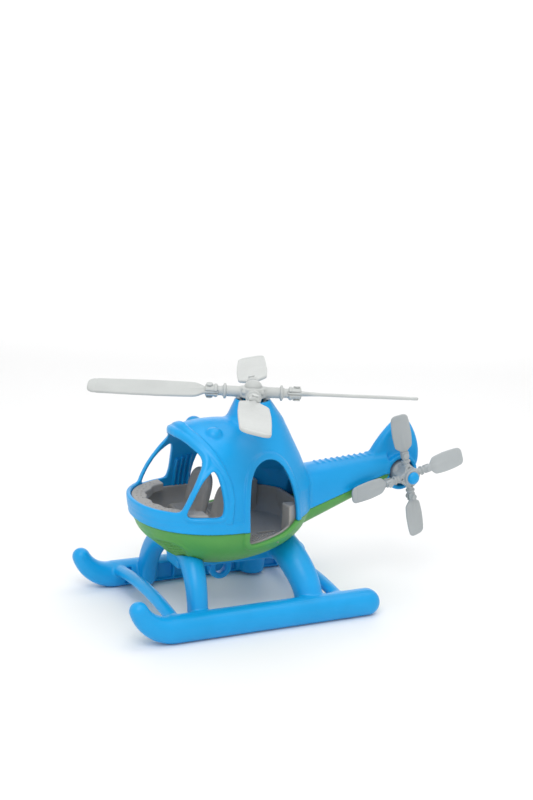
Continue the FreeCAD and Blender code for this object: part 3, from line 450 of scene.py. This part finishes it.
def brow_lines(z):
    """Where the brow's rear edge and front edge stand at a height."""
    rear = np.interp(z, [84, 92.5, 99.4, 109.6, 122.1, 130.9, 137.3, 141.9, 144],
                     [39.5, 38, 37, 37.5, 41, 45, 49.4, 53.2, 55.8])
    ahead = np.interp(z, [84, 89.4, 99.7, 110.6, 121.1, 128.6, 136.1, 140.9, 144],
                      [46.2, 44.2, 41.4, 42.2, 46.5, 51.6, 57.4, 61.8, 63.5])
    return rear, ahead


def door_lip(x, z):
    """How far the lip round the door stands proud: flat, and a little lower at the opening."""
    around = outline(DOOR, x, z)
    return LIP_PROUD * (1 - ramp(*LIP_EDGE, around)) * (1 - 0.25 * (1 - ramp(0.5, 2.5, around)))


def cabin_relief(x, y, z):
    """How far the raised frames of the cabin stand proud of the egg."""
    rear, ahead = brow_lines(z)
    t = (x - rear) / (ahead - rear)
    brow = 1.9 * ramp(-0.08, 0.12, t) * (1 - 0.55 * ramp(0.55, 0.9, t)) * ramp(81.5, 83.5, z)
    window_rim = np.abs(outline(WINDOW, x, z) - 1.5)
    window_frame = 1.7 * (1 - ramp(1.0, 2.2, window_rim)) * (x > 40)
    screen_rim = np.abs(screen(x, y, z) - 1.5)
    screen_frame = 1.5 * (1 - ramp(1.0, 2.2, screen_rim)) * ramp(93, 97, z)
    skirt = 1.0 * (1 - ramp(81.8, 82.8, z)) * ramp(26, 27.5, x)
    frames = np.maximum(np.maximum(window_frame, screen_frame), skirt)
    return np.maximum(np.maximum(brow, door_lip(x, z)), frames)


def openings(x, y, z):
    """Distance to the nearest of the door, the side windows and the windscreen."""
    return np.minimum(np.minimum(outline(DOOR, x, z), outline(WINDOW, x, z)), screen(x, y, z))


def ribs(x, y, z, inner):
    """The stiffening ribs inside the cabin's walls."""
    best = np.full(np.broadcast(x, y, z).shape, 1e3)
    for at, top in RIBS:
        bar = np.maximum(np.abs(x - at) - RIB_HALF, np.maximum(z - top, RIB_FOOT - z))
        best = np.minimum(best, bar)
    best = soft_max(best, np.maximum(-inner - RIB_DEPTH, RIB_INNER_Y - np.abs(y)), 0.5)
    return np.maximum(best, inner - 0.6)


def boom_bars(body, x, y, z):
    """The body with the row of plain bars along the boom's top."""
    for row in range(BAR_COUNT):
        at = BAR_FIRST - BAR_STEP * row
        top = between(BOOM_TOP, boom_share(at))
        low, high = (at - BAR_HALF, -BAR_REACH, top - BAR_SINK), (at + BAR_HALF, BAR_REACH, top + BAR_PROUD)
        body = np.minimum(body, brick(x, y, z, low, high, 0.5))
    return body


def upper_hollow(x, y, z, inner_egg):
    """The room inside the upper shell: cabin, mast, boom, the rotor's well and the cup."""
    mast_room = np.maximum(mast(x, y, z, WALL), z - MAST_ROOM_TOP)
    boom_room = np.maximum(boom(x, y, z, WALL), BOOM_ROOM_REAR - x)
    from_mast = np.sqrt(x * x + y * y)
    well = np.maximum(from_mast - WELL_R, WELL_FLOOR - z)
    bore = np.maximum(from_mast - BUSH_R, np.abs(z - BUSH_MIDDLE) - BUSH_HALF)
    from_axle = np.sqrt((x - CUP_X) ** 2 + (z - CUP_Z) ** 2)
    cup_room = np.maximum(from_axle - CUP_ROOM_R, CUP_FLOOR_Y - y)
    inner = np.minimum(np.minimum(inner_egg, mast_room), boom_room)
    return np.minimum(np.minimum(inner, well), np.minimum(bore, cup_room))


def tail_end(x, y, z):
    """The fin and the cup that the tail rotor turns in."""
    from_axle = np.sqrt((x - CUP_X) ** 2 + (z - CUP_Z) ** 2)
    plate = soft_max(outline(FIN, x, z), np.abs(y) - FIN_HALF + 0.0004 * (z - 118) ** 2, 4.5)
    cup = soft_max(from_axle - CUP_R, np.abs(y - CUP_MIDDLE_Y) - CUP_HALF, 1.6)
    return soft_min(plate, cup, 3.0)


def upper_field(x, y, z):
    """The blue upper shell."""
    body = soft_min(egg(x, y, z) - cabin_relief(x, y, z), mast(x, y, z), 4.0)
    body = soft_min(body, boom(x, y, z), 3.0)
    seam = z - joint_z(x)
    body = body - 0.6 * (1 - ramp(0.9, 2.4, seam))
    body = boom_bars(body, x, y, z)
    for sign in (1, -1):
        boss = np.sqrt((x - BOSS_X) ** 2 + (y - sign * BOSS_Y) ** 2 + (z - BOSS_Z) ** 2) - BOSS_R
        body = soft_min(body, boss, 1.0)
    sill_ends = np.maximum(np.abs(z - SILL_Z) - SILL_HALF, SILL_REAR - x)
    body = soft_min(body, soft_max(egg(x, y, z) - SILL_PROUD, sill_ends, 2.0), 0.6)
    body = soft_max(body, -seam, 0.5)
    body = soft_min(body, tail_end(x, y, z), 2.5)
    inner_egg = egg(x, y, z, WALL)
    body = soft_max(body, -upper_hollow(x, y, z, inner_egg), 0.7)
    body = np.minimum(body, ribs(x, y, z, inner_egg))
    return soft_max(body, -openings(x, y, z), 1.1)


def vent_spot(x, z):
    """Place across the oval vent: along its length and across it."""
    c, s = VENT_TURN
    along = (x - VENT_X) * c + (z - VENT_Z) * s
    across = -(x - VENT_X) * s + (z - VENT_Z) * c
    return along, across


def lower_field(x, y, z):
    """The green lower shell, with its door lip and two slatted vents."""
    skin = egg(x, y, z)
    body = soft_min(skin - door_lip(x, z), boom(x, y, z), 3.0)
    inner = np.minimum(egg(x, y, z, WALL), boom(x, y, z, WALL))
    along, across = vent_spot(x, z)
    oval = (np.sqrt((along / VENT_LONG) ** 2 + (across / VENT_SHORT) ** 2) - 1) * VENT_SHORT
    near = np.maximum(oval, 62 - x)
    body = body - 0.7 * (1 - ramp(0.5, 1.5, np.abs(near - 1.0)))
    slats = np.abs((along + across * 0.5) / SLAT_PITCH % 1 - 0.5) * SLAT_PITCH - SLAT_HALF
    recess = np.maximum(near, -(skin + VENT_DEPTH))
    body = soft_max(body, -soft_max(recess, -soft_max(slats, skin + 0.3, 0.5), 0.5), 0.5)
    body = soft_max(body, z - joint_z(x), 0.5)
    body = soft_max(body, -inner, 0.6)
    return soft_max(body, -outline(DOOR, x, z), 1.1)


# --------------------------------------------------------------- landing gear

# Stations down the middle of each leg, from the keel to the skid, and its radius at each.
FRONT_LEG = [
    (57, 0, 53.5), (57.4, 10, 53), (58.4, 22, 50.2), (59.8, 33, 44), (61, 42, 33.5), (62, 47.6, 21),
    (62.5, 50, 8)]
FRONT_LEG_R = (8.8, 8.8, 8.8, 8.7, 8.5, 8.3, 8.2)
REAR_LEG = [
    (-24, 0, 47.5), (-24.2, 8, 47), (-25, 20, 44), (-27, 34, 36), (-29.5, 44, 25.5), (-31, 49.6, 13),
    (-31.3, 50.6, 6)]
REAR_LEG_R = (12, 12, 12, 11.7, 11.1, 10.6, 10.4)


def bend(path, radii, parts=4):
    """The path and radii of a tube, rounded between the given stations."""
    p = np.column_stack([np.array(path, float), radii])
    p = np.vstack([2 * p[0] - p[1], p, 2 * p[-1] - p[-2]])
    out = [p[1]]
    for a, b, c, d in zip(p, p[1:], p[2:], p[3:]):
        for t in (np.arange(parts) + 1) / parts:
            out.append(0.5 * (2 * b + (c - a) * t + (2 * a - 5 * b + 4 * c - d) * t * t
                              + (3 * b - a - 3 * c + d) * t ** 3))
    return [tuple(q[:3]) for q in out], [q[3] for q in out]


def skid_field(x, y, z):
    """The runners: a level run, an upturned slimmer nose and a hollowed, ribbed inner side."""
    v = y - TRACK
    a = np.clip(np.arctan2(x - SKID_KNEE, SKID_Z + SKID_BEND - z), 0, SKID_TURN)
    ahead = x > SKID_KNEE
    cx = np.where(ahead, SKID_KNEE + SKID_BEND * np.sin(a), np.clip(x, SKID_REAR, SKID_KNEE))
    cz = np.where(ahead, SKID_Z + SKID_BEND * (1 - np.cos(a)), SKID_Z)
    radius = np.where(ahead, SKID_R - a / SKID_TURN * SKID_TAPER, SKID_R)
    w = np.sqrt((x - cx) ** 2 + (z - cz) ** 2)
    d = (np.abs(v) ** SKID_POWER + w ** SKID_POWER) ** (1 / SKID_POWER) - radius
    bay = np.abs((x - BAY_START) / BAY_PITCH % 1 - 0.5) * BAY_PITCH
    pocket = np.maximum(POCKET_INNER + v, np.abs(z - POCKET_Z) - POCKET_HALF_Z)
    pocket = np.maximum(pocket, np.abs(x - POCKET_X) - POCKET_HALF_X)
    pocket = soft_max(pocket, bay - BAY_PITCH / 2 + BAY_RIB, 0.6)
    under_legs = np.minimum(np.abs(x - LEG_X[0]) - 11, np.abs(x - LEG_X[1]) - 13)
    pocket = np.maximum(pocket, -under_legs)
    return soft_max(soft_max(d, -pocket, 0.7), -z, 0.8)


def gear_field(x, y, z):
    """The whole landing gear: skids, legs, saddle, bows and the ring under the belly."""
    y = np.abs(y)
    skids = skid_field(x, y, z)
    front = rod(*bend(FRONT_LEG, FRONT_LEG_R), x, y, z)
    front = soft_max(front, x - LEG_FACE, 2.6)
    rear = rod(*bend(REAR_LEG, REAR_LEG_R), x, y, z)
    legs = soft_max(soft_min(front, rear, 2.0), LEG_FOOT - z, 1.0)
    body = soft_min(legs, brick(x, y, z, *SADDLE, 2.0), 4.0)
    for at in BOW_X:
        arch = BOW_Z + BOW_RISE * (1 - np.clip(y / TRACK, 0, 1) ** 2)
        bar = np.sqrt(((x - at) / BOW_WIDEN) ** 2 + (z - arch) ** 2) - BOW_R
        body = np.minimum(body, np.maximum(bar, y - BOW_END))
    from_ring = np.sqrt((x - RING_X) ** 2 + (z - RING_Z) ** 2)
    ring = soft_max(np.abs(from_ring - RING_MIDDLE_R) - RING_HALF, y - RING_HALF_WIDTH, 1.6)
    body = soft_min(body, np.maximum(ring, z - RING_TOP), 1.2)
    body = soft_min(body, skids, 2.2)
    body = soft_max(body, -(egg(x, y, z) - SHELL_GAP), 0.8)
    return np.maximum(body, -(from_ring - RING_HOLE_R))


# ------------------------------------------------------------------- interior


def tray_field(x, y, z):
    """The cabin tray: floor, low wall, a post behind each door and four slots."""
    room = egg(x, y, z, TRAY_SKIN)
    outer = np.maximum(np.maximum(room, TRAY_REAR - x), np.maximum(DECK_Z - z, z - RIM_Z))
    inner = np.maximum(egg(x, y, z, TRAY_SKIN + TRAY_WALL), TRAY_REAR + TRAY_WALL - x)
    inner = np.maximum(inner, FLOOR_Z - z)
    door = np.maximum(outline(DOOR, x, z), FLOOR_Z - z)
    body = soft_max(soft_max(outer, -inner, 0.8), -door, 0.6)
    tall = np.maximum(z - POST_TOP, DECK_Z - z)
    post = np.maximum(np.abs(x - POST_X) - POST_HALF, np.maximum(POST_INNER_Y - np.abs(y), tall))
    post = np.maximum(room, post)
    body = soft_min(body, soft_max(post, POST_INNER_Y + 0.4 - np.abs(y), 1.2), 0.8)
    for cx, cy, length in SLOTS:
        low = (cx - length, cy - SLOT_HALF, DECK_Z - 1.4)
        high = (cx + length, cy + SLOT_HALF, FLOOR_Z + 2)
        body = soft_max(body, -brick(x, y, z, low, high, 0.5), 0.4)
    return body


def dash_field(x, y, z):
    """The ledge under the windscreen, its inner edge gently scalloped."""
    room = egg(x, y, z, TRAY_SKIN)
    wave = DASH_WAVE * np.cos(y * 2 * math.pi / DASH_WAVE_LENGTH)
    inner = egg(x, y, z, TRAY_SKIN + DASH_WIDTH) + wave
    body = soft_max(soft_max(room, -inner, 1.2), np.abs(z - DASH_Z) - DASH_HALF, 1.2)
    return soft_max(body, DASH_REAR - x, 1.0)


def seat_field(x, y, z):
    """The port seat: a back with a dished panel, and a cushion with a shallow hollow."""
    y = y - SEAT_Y
    lean = SEAT_FRONT_X - SEAT_RAKE * (z - FLOOR_Z)
    corner = soft_max(np.abs(y) - SEAT_HALF, z - SEAT_TOP, 14)
    back = soft_max(np.abs(x - lean + SEAT_BEHIND) - SEAT_HALF_THICK, corner, 3.2)
    dish = np.sqrt((y / 13.0) ** 2 + ((z - 86) / 12.5) ** 2)
    back = back + 0.8 * (1 - ramp(0.75, 1.05, dish)) * (x > lean - SEAT_BEHIND)
    hollow = np.sqrt((y / 13) ** 2 + ((x - 44) / 5.5) ** 2)
    pad = brick(x, y, z, *CUSHION, 3.0) + 0.7 * (1 - ramp(0.5, 1.1, hollow)) * (z > 66)
    return np.maximum(soft_min(back, pad, 1.5), FLOOR_Z - z)


# --------------------------------------------------------------------- rotors


def paddle(root, neck, shoulder, tip, chord, thick):
    """The field of one blade that lies along +x about its own pitch axis."""
    run = tip - shoulder
    spans = np.array([
        root, root + 0.62 * (shoulder - root), shoulder - 1.5, shoulder + 2, shoulder + 0.34 * run,
        shoulder + 0.62 * run, tip])
    halves = np.array([
        neck, neck, 0.86 * chord / 2, 0.93 * chord / 2, chord / 2, 0.97 * chord / 2, 0.88 * chord / 2])
    fine = np.linspace(root, tip, 80)
    smooth = np.interp(fine, spans, halves)
    for _ in range(6):
        smooth[1:-1] = (smooth[:-2] + 2 * smooth[1:-1] + smooth[2:]) / 4

    def field(x, y, z):
        half = np.interp(x, fine, smooth)
        plan = soft_max(np.abs(y) - half, x - tip, 0.30 * chord)
        plan = np.maximum(plan, root - x)
        band = 1 - ramp(0.5, 1.1, np.abs(x - tip + 0.26 * chord))
        deep = thick / 2 * (1 - 0.08 * np.clip(np.abs(y) / half, 0, 1) ** 2) - 0.22 * band
        body = soft_max(plan, np.abs(z) - deep, 0.8)
        spine = rod([(shoulder - 10, 0, 0), (shoulder + 10, 0, 0)], [thick * 0.95, thick * 0.3], x, y, z)
        return soft_min(body, spine, 1.2)

    return field


def sector(x, y, phase):
    """Folds the plane about the axis into the one quarter round a grip."""
    angle = np.arctan2(y, x) - math.radians(phase)
    angle = (angle + math.pi / 4) % (math.pi / 2) - math.pi / 4
    r = np.sqrt(x * x + y * y)
    return r * np.cos(angle), r * np.sin(angle), r


def main_hub_field(x, y, z):
    """The main hub: a drum with four slotted grips, and links and a flange under it."""
    p, q, r = sector(x, y, ROTOR_PHASE)
    h = z - ROTOR_Z
    drum = soft_max(r - HUB_R, np.abs(h) - HUB_HALF, 1.4)
    step = soft_max(r - HUB_STEP_R, np.abs(h) - HUB_STEP_HALF, 0.6)
    reach = ARM_R + 1.8 * (1 - ramp(0.6, 1.4, np.abs(p - 21.4)))
    reach = reach + 1.0 * (1 - ramp(0.8, 1.6, np.abs(p - 28.2)))
    reach = reach + 0.45 * ramp(29, 30, p) - 0.5 * (1 - ramp(1.0, 2.4, np.abs(p - 25)))
    grip = soft_max(soft_max(np.sqrt(q * q + h * h) - reach, p - ARM_LENGTH, 1.4), 5 - p, 0.5)
    body = soft_min(soft_min(drum, step, 0.4), grip, 1.4)
    tilt = math.radians(ROTOR_PITCH)
    off_blade = np.abs(-q * math.sin(tilt) + h * math.cos(tilt))
    body = soft_max(body, -np.maximum(off_blade - BLADE_SLOT_HALF, BLADE_ROOT - p), 0.4)
    link = np.sqrt((p - LINK_REACH) ** 2 + q * q) - LINK_R
    link = np.maximum(link, np.maximum(z - ROTOR_Z, LINK_FOOT - z))
    eye = soft_max(np.sqrt((p - EYE_REACH) ** 2 + q * q) - EYE_R, np.abs(z - EYE_Z) - EYE_HALF, 0.5)
    flange = soft_max(r - FLANGE_R, np.abs(z - FLANGE_Z) - FLANGE_HALF, 0.6)
    body = np.minimum(soft_min(body, np.minimum(link, eye), 0.6), flange)
    s, t, _ = sector(x, y, ROTOR_PHASE + 45)
    stud = np.sqrt((s - STUD_REACH) ** 2 + t * t + (h - 1.0) ** 2) - STUD_R
    return soft_max(soft_min(body, stud, 0.5), SHAFT_BORE_R - r, 0.3)


def tail_hub_field(x, y, z):
    """The tail hub about its own axle, z to port."""
    p, q, r = sector(x, y, TAIL_PHASE)
    h = z - TAIL_Y
    wide = TAIL_HUB_R - 2.0 * ramp(11, 14, z) * ramp(2.6, 4.6, np.abs(q))
    drum = soft_max(r - wide, np.abs(z - TAIL_HUB_MIDDLE) - TAIL_HUB_HALF, 1.2)
    nose = soft_max(r - TAIL_NOSE_R, np.abs(z - TAIL_NOSE_MIDDLE) - TAIL_NOSE_HALF, 0.8)
    reach = TAIL_ARM_R + 0.7 * ramp(14.6, 15.6, p) + 0.9 * (1 - ramp(0.5, 1.2, np.abs(p - 12.6)))
    grip = soft_max(np.sqrt(q * q + h * h) - reach, p - TAIL_ARM_LENGTH, 1.0)
    grip = soft_max(grip, 4 - p, 0.5)
    body = soft_min(soft_min(drum, nose, 0.8), grip, 1.2)
    tilt = math.radians(TAIL_PITCH)
    off_blade = np.abs(-q * math.sin(tilt) + h * math.cos(tilt))
    body = soft_max(body, -np.maximum(off_blade - TAIL_SLOT_HALF, TAIL_ROOT - p), 0.3)
    dimple = np.maximum(np.sqrt((p - DIMPLE_REACH) ** 2 + q * q) - DIMPLE_R, DIMPLE_FLOOR - z)
    body = soft_max(body, -dimple, 0.3)
    return soft_max(body, TAIL_BORE_R - r, 0.2)


# ------------------------------------------------------------------ materials


def plastic(name, colour, rough, grain=0.12, shift=0.06):
    """Moulded plastic: faint flow marks in the colour, uneven gloss and a fine moulded grain."""
    made = bpy.data.materials.new(name)
    made.use_nodes = True
    nodes, links = made.node_tree.nodes, made.node_tree.links
    shader = nodes["Principled BSDF"]
    place = nodes.new("ShaderNodeTexCoord")

    def noise(scale, detail):
        n = nodes.new("ShaderNodeTexNoise")
        n.inputs["Scale"].default_value = scale
        n.inputs["Detail"].default_value = detail
        links.new(place.outputs["Object"], n.inputs["Vector"])
        return n

    def spread(source, low, high):
        m = nodes.new("ShaderNodeMapRange")
        m.inputs["From Min"].default_value = 0.3
        m.inputs["From Max"].default_value = 0.7
        m.inputs["To Min"].default_value = low
        m.inputs["To Max"].default_value = high
        links.new(source, m.inputs["Value"])
        return m.outputs["Result"]

    flow, fine, skin = noise(28, 3), noise(420, 3), noise(1500, 2)
    tint = nodes.new("ShaderNodeMix")
    tint.data_type = "RGBA"
    tint.inputs[6].default_value = (*[c * (1 - shift) for c in colour], 1)
    tint.inputs[7].default_value = (*[min(1, c * (1 + shift) + 0.004) for c in colour], 1)
    links.new(spread(flow.outputs["Fac"], 0, 1), tint.inputs[0])
    links.new(tint.outputs[2], shader.inputs["Base Color"])
    links.new(spread(fine.outputs["Fac"], rough - 0.05, rough + 0.06), shader.inputs["Roughness"])
    bump = nodes.new("ShaderNodeBump")
    bump.inputs["Strength"].default_value = grain
    bump.inputs["Distance"].default_value = 0.0002
    links.new(skin.outputs["Fac"], bump.inputs["Height"])
    soft = nodes.new("ShaderNodeBump")
    soft.inputs["Strength"].default_value = 0.10
    soft.inputs["Distance"].default_value = 0.0006
    links.new(noise(90, 2).outputs["Fac"], soft.inputs["Height"])
    links.new(bump.outputs["Normal"], soft.inputs["Normal"])
    links.new(soft.outputs["Normal"], shader.inputs["Normal"])
    shader.inputs["IOR"].default_value = 1.49
    shader.inputs["Specular IOR Level"].default_value = 0.4
    return made


BLUE = plastic("blue_moulded", (0.0, 0.335, 0.74), 0.36)
GREEN = plastic("green_moulded", (0.085, 0.335, 0.066), 0.42)
ROTOR_GREY = plastic("rotor_grey_moulded", (0.49, 0.51, 0.50), 0.42)
TAIL_GREY = plastic("tail_grey_moulded", (0.40, 0.43, 0.44), 0.42)
INSIDE_GREY = plastic("inside_grey_moulded", (0.35, 0.34, 0.325), 0.55, grain=0.3)
SLOT_LOOKS = {
    "blue_plastic": BLUE,
    "green_plastic": GREEN,
    "rotor_grey": ROTOR_GREY,
    "tail_grey": TAIL_GREY,
    "interior_grey": INSIDE_GREY,
}


def finish_piece(thing, body, slot, *nodes):
    """Gives a piece its look, the body it rides and the nodes it replaces."""
    thing.data.materials.append(SLOT_LOOKS[slot])
    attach(thing, body)
    if nodes:
        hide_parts(*nodes)


for row in frame["record"]["subparts"]:
    node = frame["nodes"][row["node"]]
    look = SLOT_LOOKS[row["material_slot"]]
    if not node.material_slots:
        node.data.materials.append(look)
    for place in node.material_slots:
        place.link = "OBJECT"
        place.material = look

# --------------------------------------------------------------------- pieces

finish_piece(carve("cabin_shell_blue", upper_field, (-155, -60, 72), (98, 60, 163), 1.0), "airframe",
             "blue_plastic", "upper_shell")
finish_piece(carve("belly_shell_green", lower_field, (-121, -60, 36), (98, 60, 97), 0.85), "airframe",
             "green_plastic", "lower_shell")
finish_piece(carve("landing_gear_blue", gear_field, (-88, -74, -2), (122, 74, 66), 1.0), "airframe",
             "blue_plastic", "saddle", "belly_ring", "front_bow", "rear_bow", "port_skid", "starboard_skid",
             "port_front_leg", "starboard_front_leg", "port_rear_leg", "starboard_rear_leg")
finish_piece(carve("deck_grey", tray_field, (-41, -56, 57), (94, 56, 88), 0.9), "airframe", "interior_grey",
             "cabin_tray")
finish_piece(carve("dash_grey", dash_field, (52, -52, 79), (95, 52, 90), 0.8), "airframe", "interior_grey",
             "dashboard")

for side, sign in (("port", 1), ("starboard", -1)):
    seat = carve(f"{side}_seat_grey", lambda x, y, z: seat_field(x, sign * y, z),
                 (22, SEAT_Y * sign - 20, 60), (52, SEAT_Y * sign + 20, 104), 0.8)
    finish_piece(seat, "airframe", "interior_grey", f"{side}_seat")

tread = [
    (x + 1.5 * (row % 2), side * (27 + 2.7 * row), FLOOR_Z)
    for side in (1, -1) for row in range(8) for x in np.arange(-13 + 1.2 * row, 19, 3.0)]
finish_piece(domes("tread_dots_grey", tread, 0.95, 0.8), "airframe", "interior_grey")
buttons = [
    on_wall(angle * side, 88.1, inset)
    for side in (1, -1) for inset in (6.6, 9.8) for angle in range(7, 50, 6)]
finish_piece(domes("dash_buttons_grey", buttons, 0.85, 0.7), "airframe", "interior_grey")

LYING = about(0, -90)
main_paddle = paddle(BLADE_ROOT, 4.0, 43.0, 124.8, 24.8, 2.4)
tail_paddle = paddle(TAIL_ROOT, 2.5, 26.0, 52.0, 16.2, 1.8)
for k in range(4):
    turn = about(2, ROTOR_PHASE + 90 * k) @ about(0, ROTOR_PITCH)
    blade = carve(f"main_paddle_{k + 1}", main_paddle, (24, -14, -3.4), (127, 14, 3.4), 0.7, turn,
                  (0, 0, ROTOR_Z))
    finish_piece(blade, "main_rotor", "rotor_grey", f"main_blade_{k + 1}")
    turn = LYING @ about(2, TAIL_PHASE + 90 * k) @ about(0, TAIL_PITCH)
    blade = carve(f"tail_paddle_{k + 1}", tail_paddle, (12, -10, -2.8), (54, 10, 2.8), 0.6, turn,
                  (CUP_X, TAIL_Y, CUP_Z))
    finish_piece(blade, "tail_rotor", "tail_grey", f"tail_blade_{k + 1}")
hub = carve("main_hub_grey", main_hub_field, (-40, -40, 152.5), (40, 40, 172.6), 0.45)
finish_piece(hub, "main_rotor", "rotor_grey", "main_hub")
hub = carve("tail_hub_grey", tail_hub_field, (-22, -22, 3.2), (22, 22, 28.2), 0.4, LYING,
            (CUP_X, 0, CUP_Z))
finish_piece(hub, "tail_rotor", "tail_grey", "tail_hub")

# ------------------------------------------------------------ light and camera


def area(name, place, aim, size, watts):
    """A rectangular light that faces a point."""
    data = bpy.data.lights.new(name, "AREA")
    data.shape = "RECTANGLE"
    data.size, data.size_y = size
    data.energy = watts
    thing = bpy.data.objects.new(name, data)
    bpy.context.collection.objects.link(thing)
    thing.location = place
    thing.rotation_euler = (Vector(aim) - Vector(place)).to_track_quat("-Z", "Y").to_euler()


def camera():
    """The camera, placed and turned as the photograph's."""
    azimuth = math.radians(CAMERA_AZIMUTH)
    elevation = math.radians(CAMERA_ELEVATION)
    roll = math.radians(CAMERA_ROLL)
    level = math.cos(elevation)
    back = Vector((math.sin(azimuth) * level, -math.cos(azimuth) * level, math.sin(elevation)))
    right = (-back).cross(Vector((0, 0, 1))).normalized()
    up = right.cross(-back)
    tilted = right * math.cos(roll) + up * math.sin(roll)
    upright = up * math.cos(roll) - right * math.sin(roll)
    target = Vector((CAMERA_AIM_X + MAST_X, 0, CAMERA_AIM_Z)) * MM
    spot = target + back * CAMERA_RANGE
    data = bpy.data.cameras.new("camera")
    data.sensor_width = 36
    data.lens = CAMERA_LENS
    data.clip_start, data.clip_end = 0.05, 50
    thing = bpy.data.objects.new("camera", data)
    bpy.context.collection.objects.link(thing)
    turn = Matrix((tilted, upright, back)).transposed().to_4x4()
    thing.matrix_world = Matrix.Translation(spot) @ turn
    bpy.context.scene.camera = thing


def stage():
    """A pale floor that sweeps up behind the toy, and an even white world."""
    data = bpy.data.meshes.new("floor")
    away = Vector((-0.46, -0.888, 0))
    across = Vector((0.888, -0.46, 0))
    turns = [math.radians(a) for a in range(0, 91, 6)]
    sweep = [(2.4 + 1.6 * math.sin(a), 1.6 - 1.6 * math.cos(a)) for a in turns]
    profile = [(-4.0, 0.0)] + sweep + [(4.0, 6.0)]
    points = [
        away * along + across * side + Vector((0, 0, up))
        for along, up in profile for side in (-5, 5)]
    rows = [(2 * i, 2 * i + 1, 2 * i + 3, 2 * i + 2) for i in range(len(profile) - 1)]
    data.from_pydata(points, [], rows)
    data.polygons.foreach_set("use_smooth", [True] * len(rows))
    floor = bpy.data.objects.new("floor", data)
    bpy.context.collection.objects.link(floor)
    look = bpy.data.materials.new("pale_floor")
    look.use_nodes = True
    shader = look.node_tree.nodes["Principled BSDF"]
    shader.inputs["Base Color"].default_value = (0.9, 0.9, 0.9, 1)
    shader.inputs["Roughness"].default_value = 0.6
    data.materials.append(look)
    world = bpy.data.worlds.new("studio")
    world.use_nodes = True
    world.node_tree.nodes["Background"].inputs["Color"].default_value = (1, 1, 1, 1)
    world.node_tree.nodes["Background"].inputs["Strength"].default_value = 0.78
    bpy.context.scene.world = world
    bpy.context.scene.view_settings.view_transform = "Standard"
    bpy.context.scene.view_settings.look = "None"


stage()
camera()
area("key", (0.55, 0.75, 1.25), (0, 0, 0.08), (0.8, 0.8), 8)
area("top", (-0.3, -0.1, 1.5), (0, 0, 0.08), (1.2, 1.2), 5)
area("backdrop_light", (-0.9, -1.6, 1.9), (-1.6, -3.4, 0.9), (2.5, 1.2), 55)
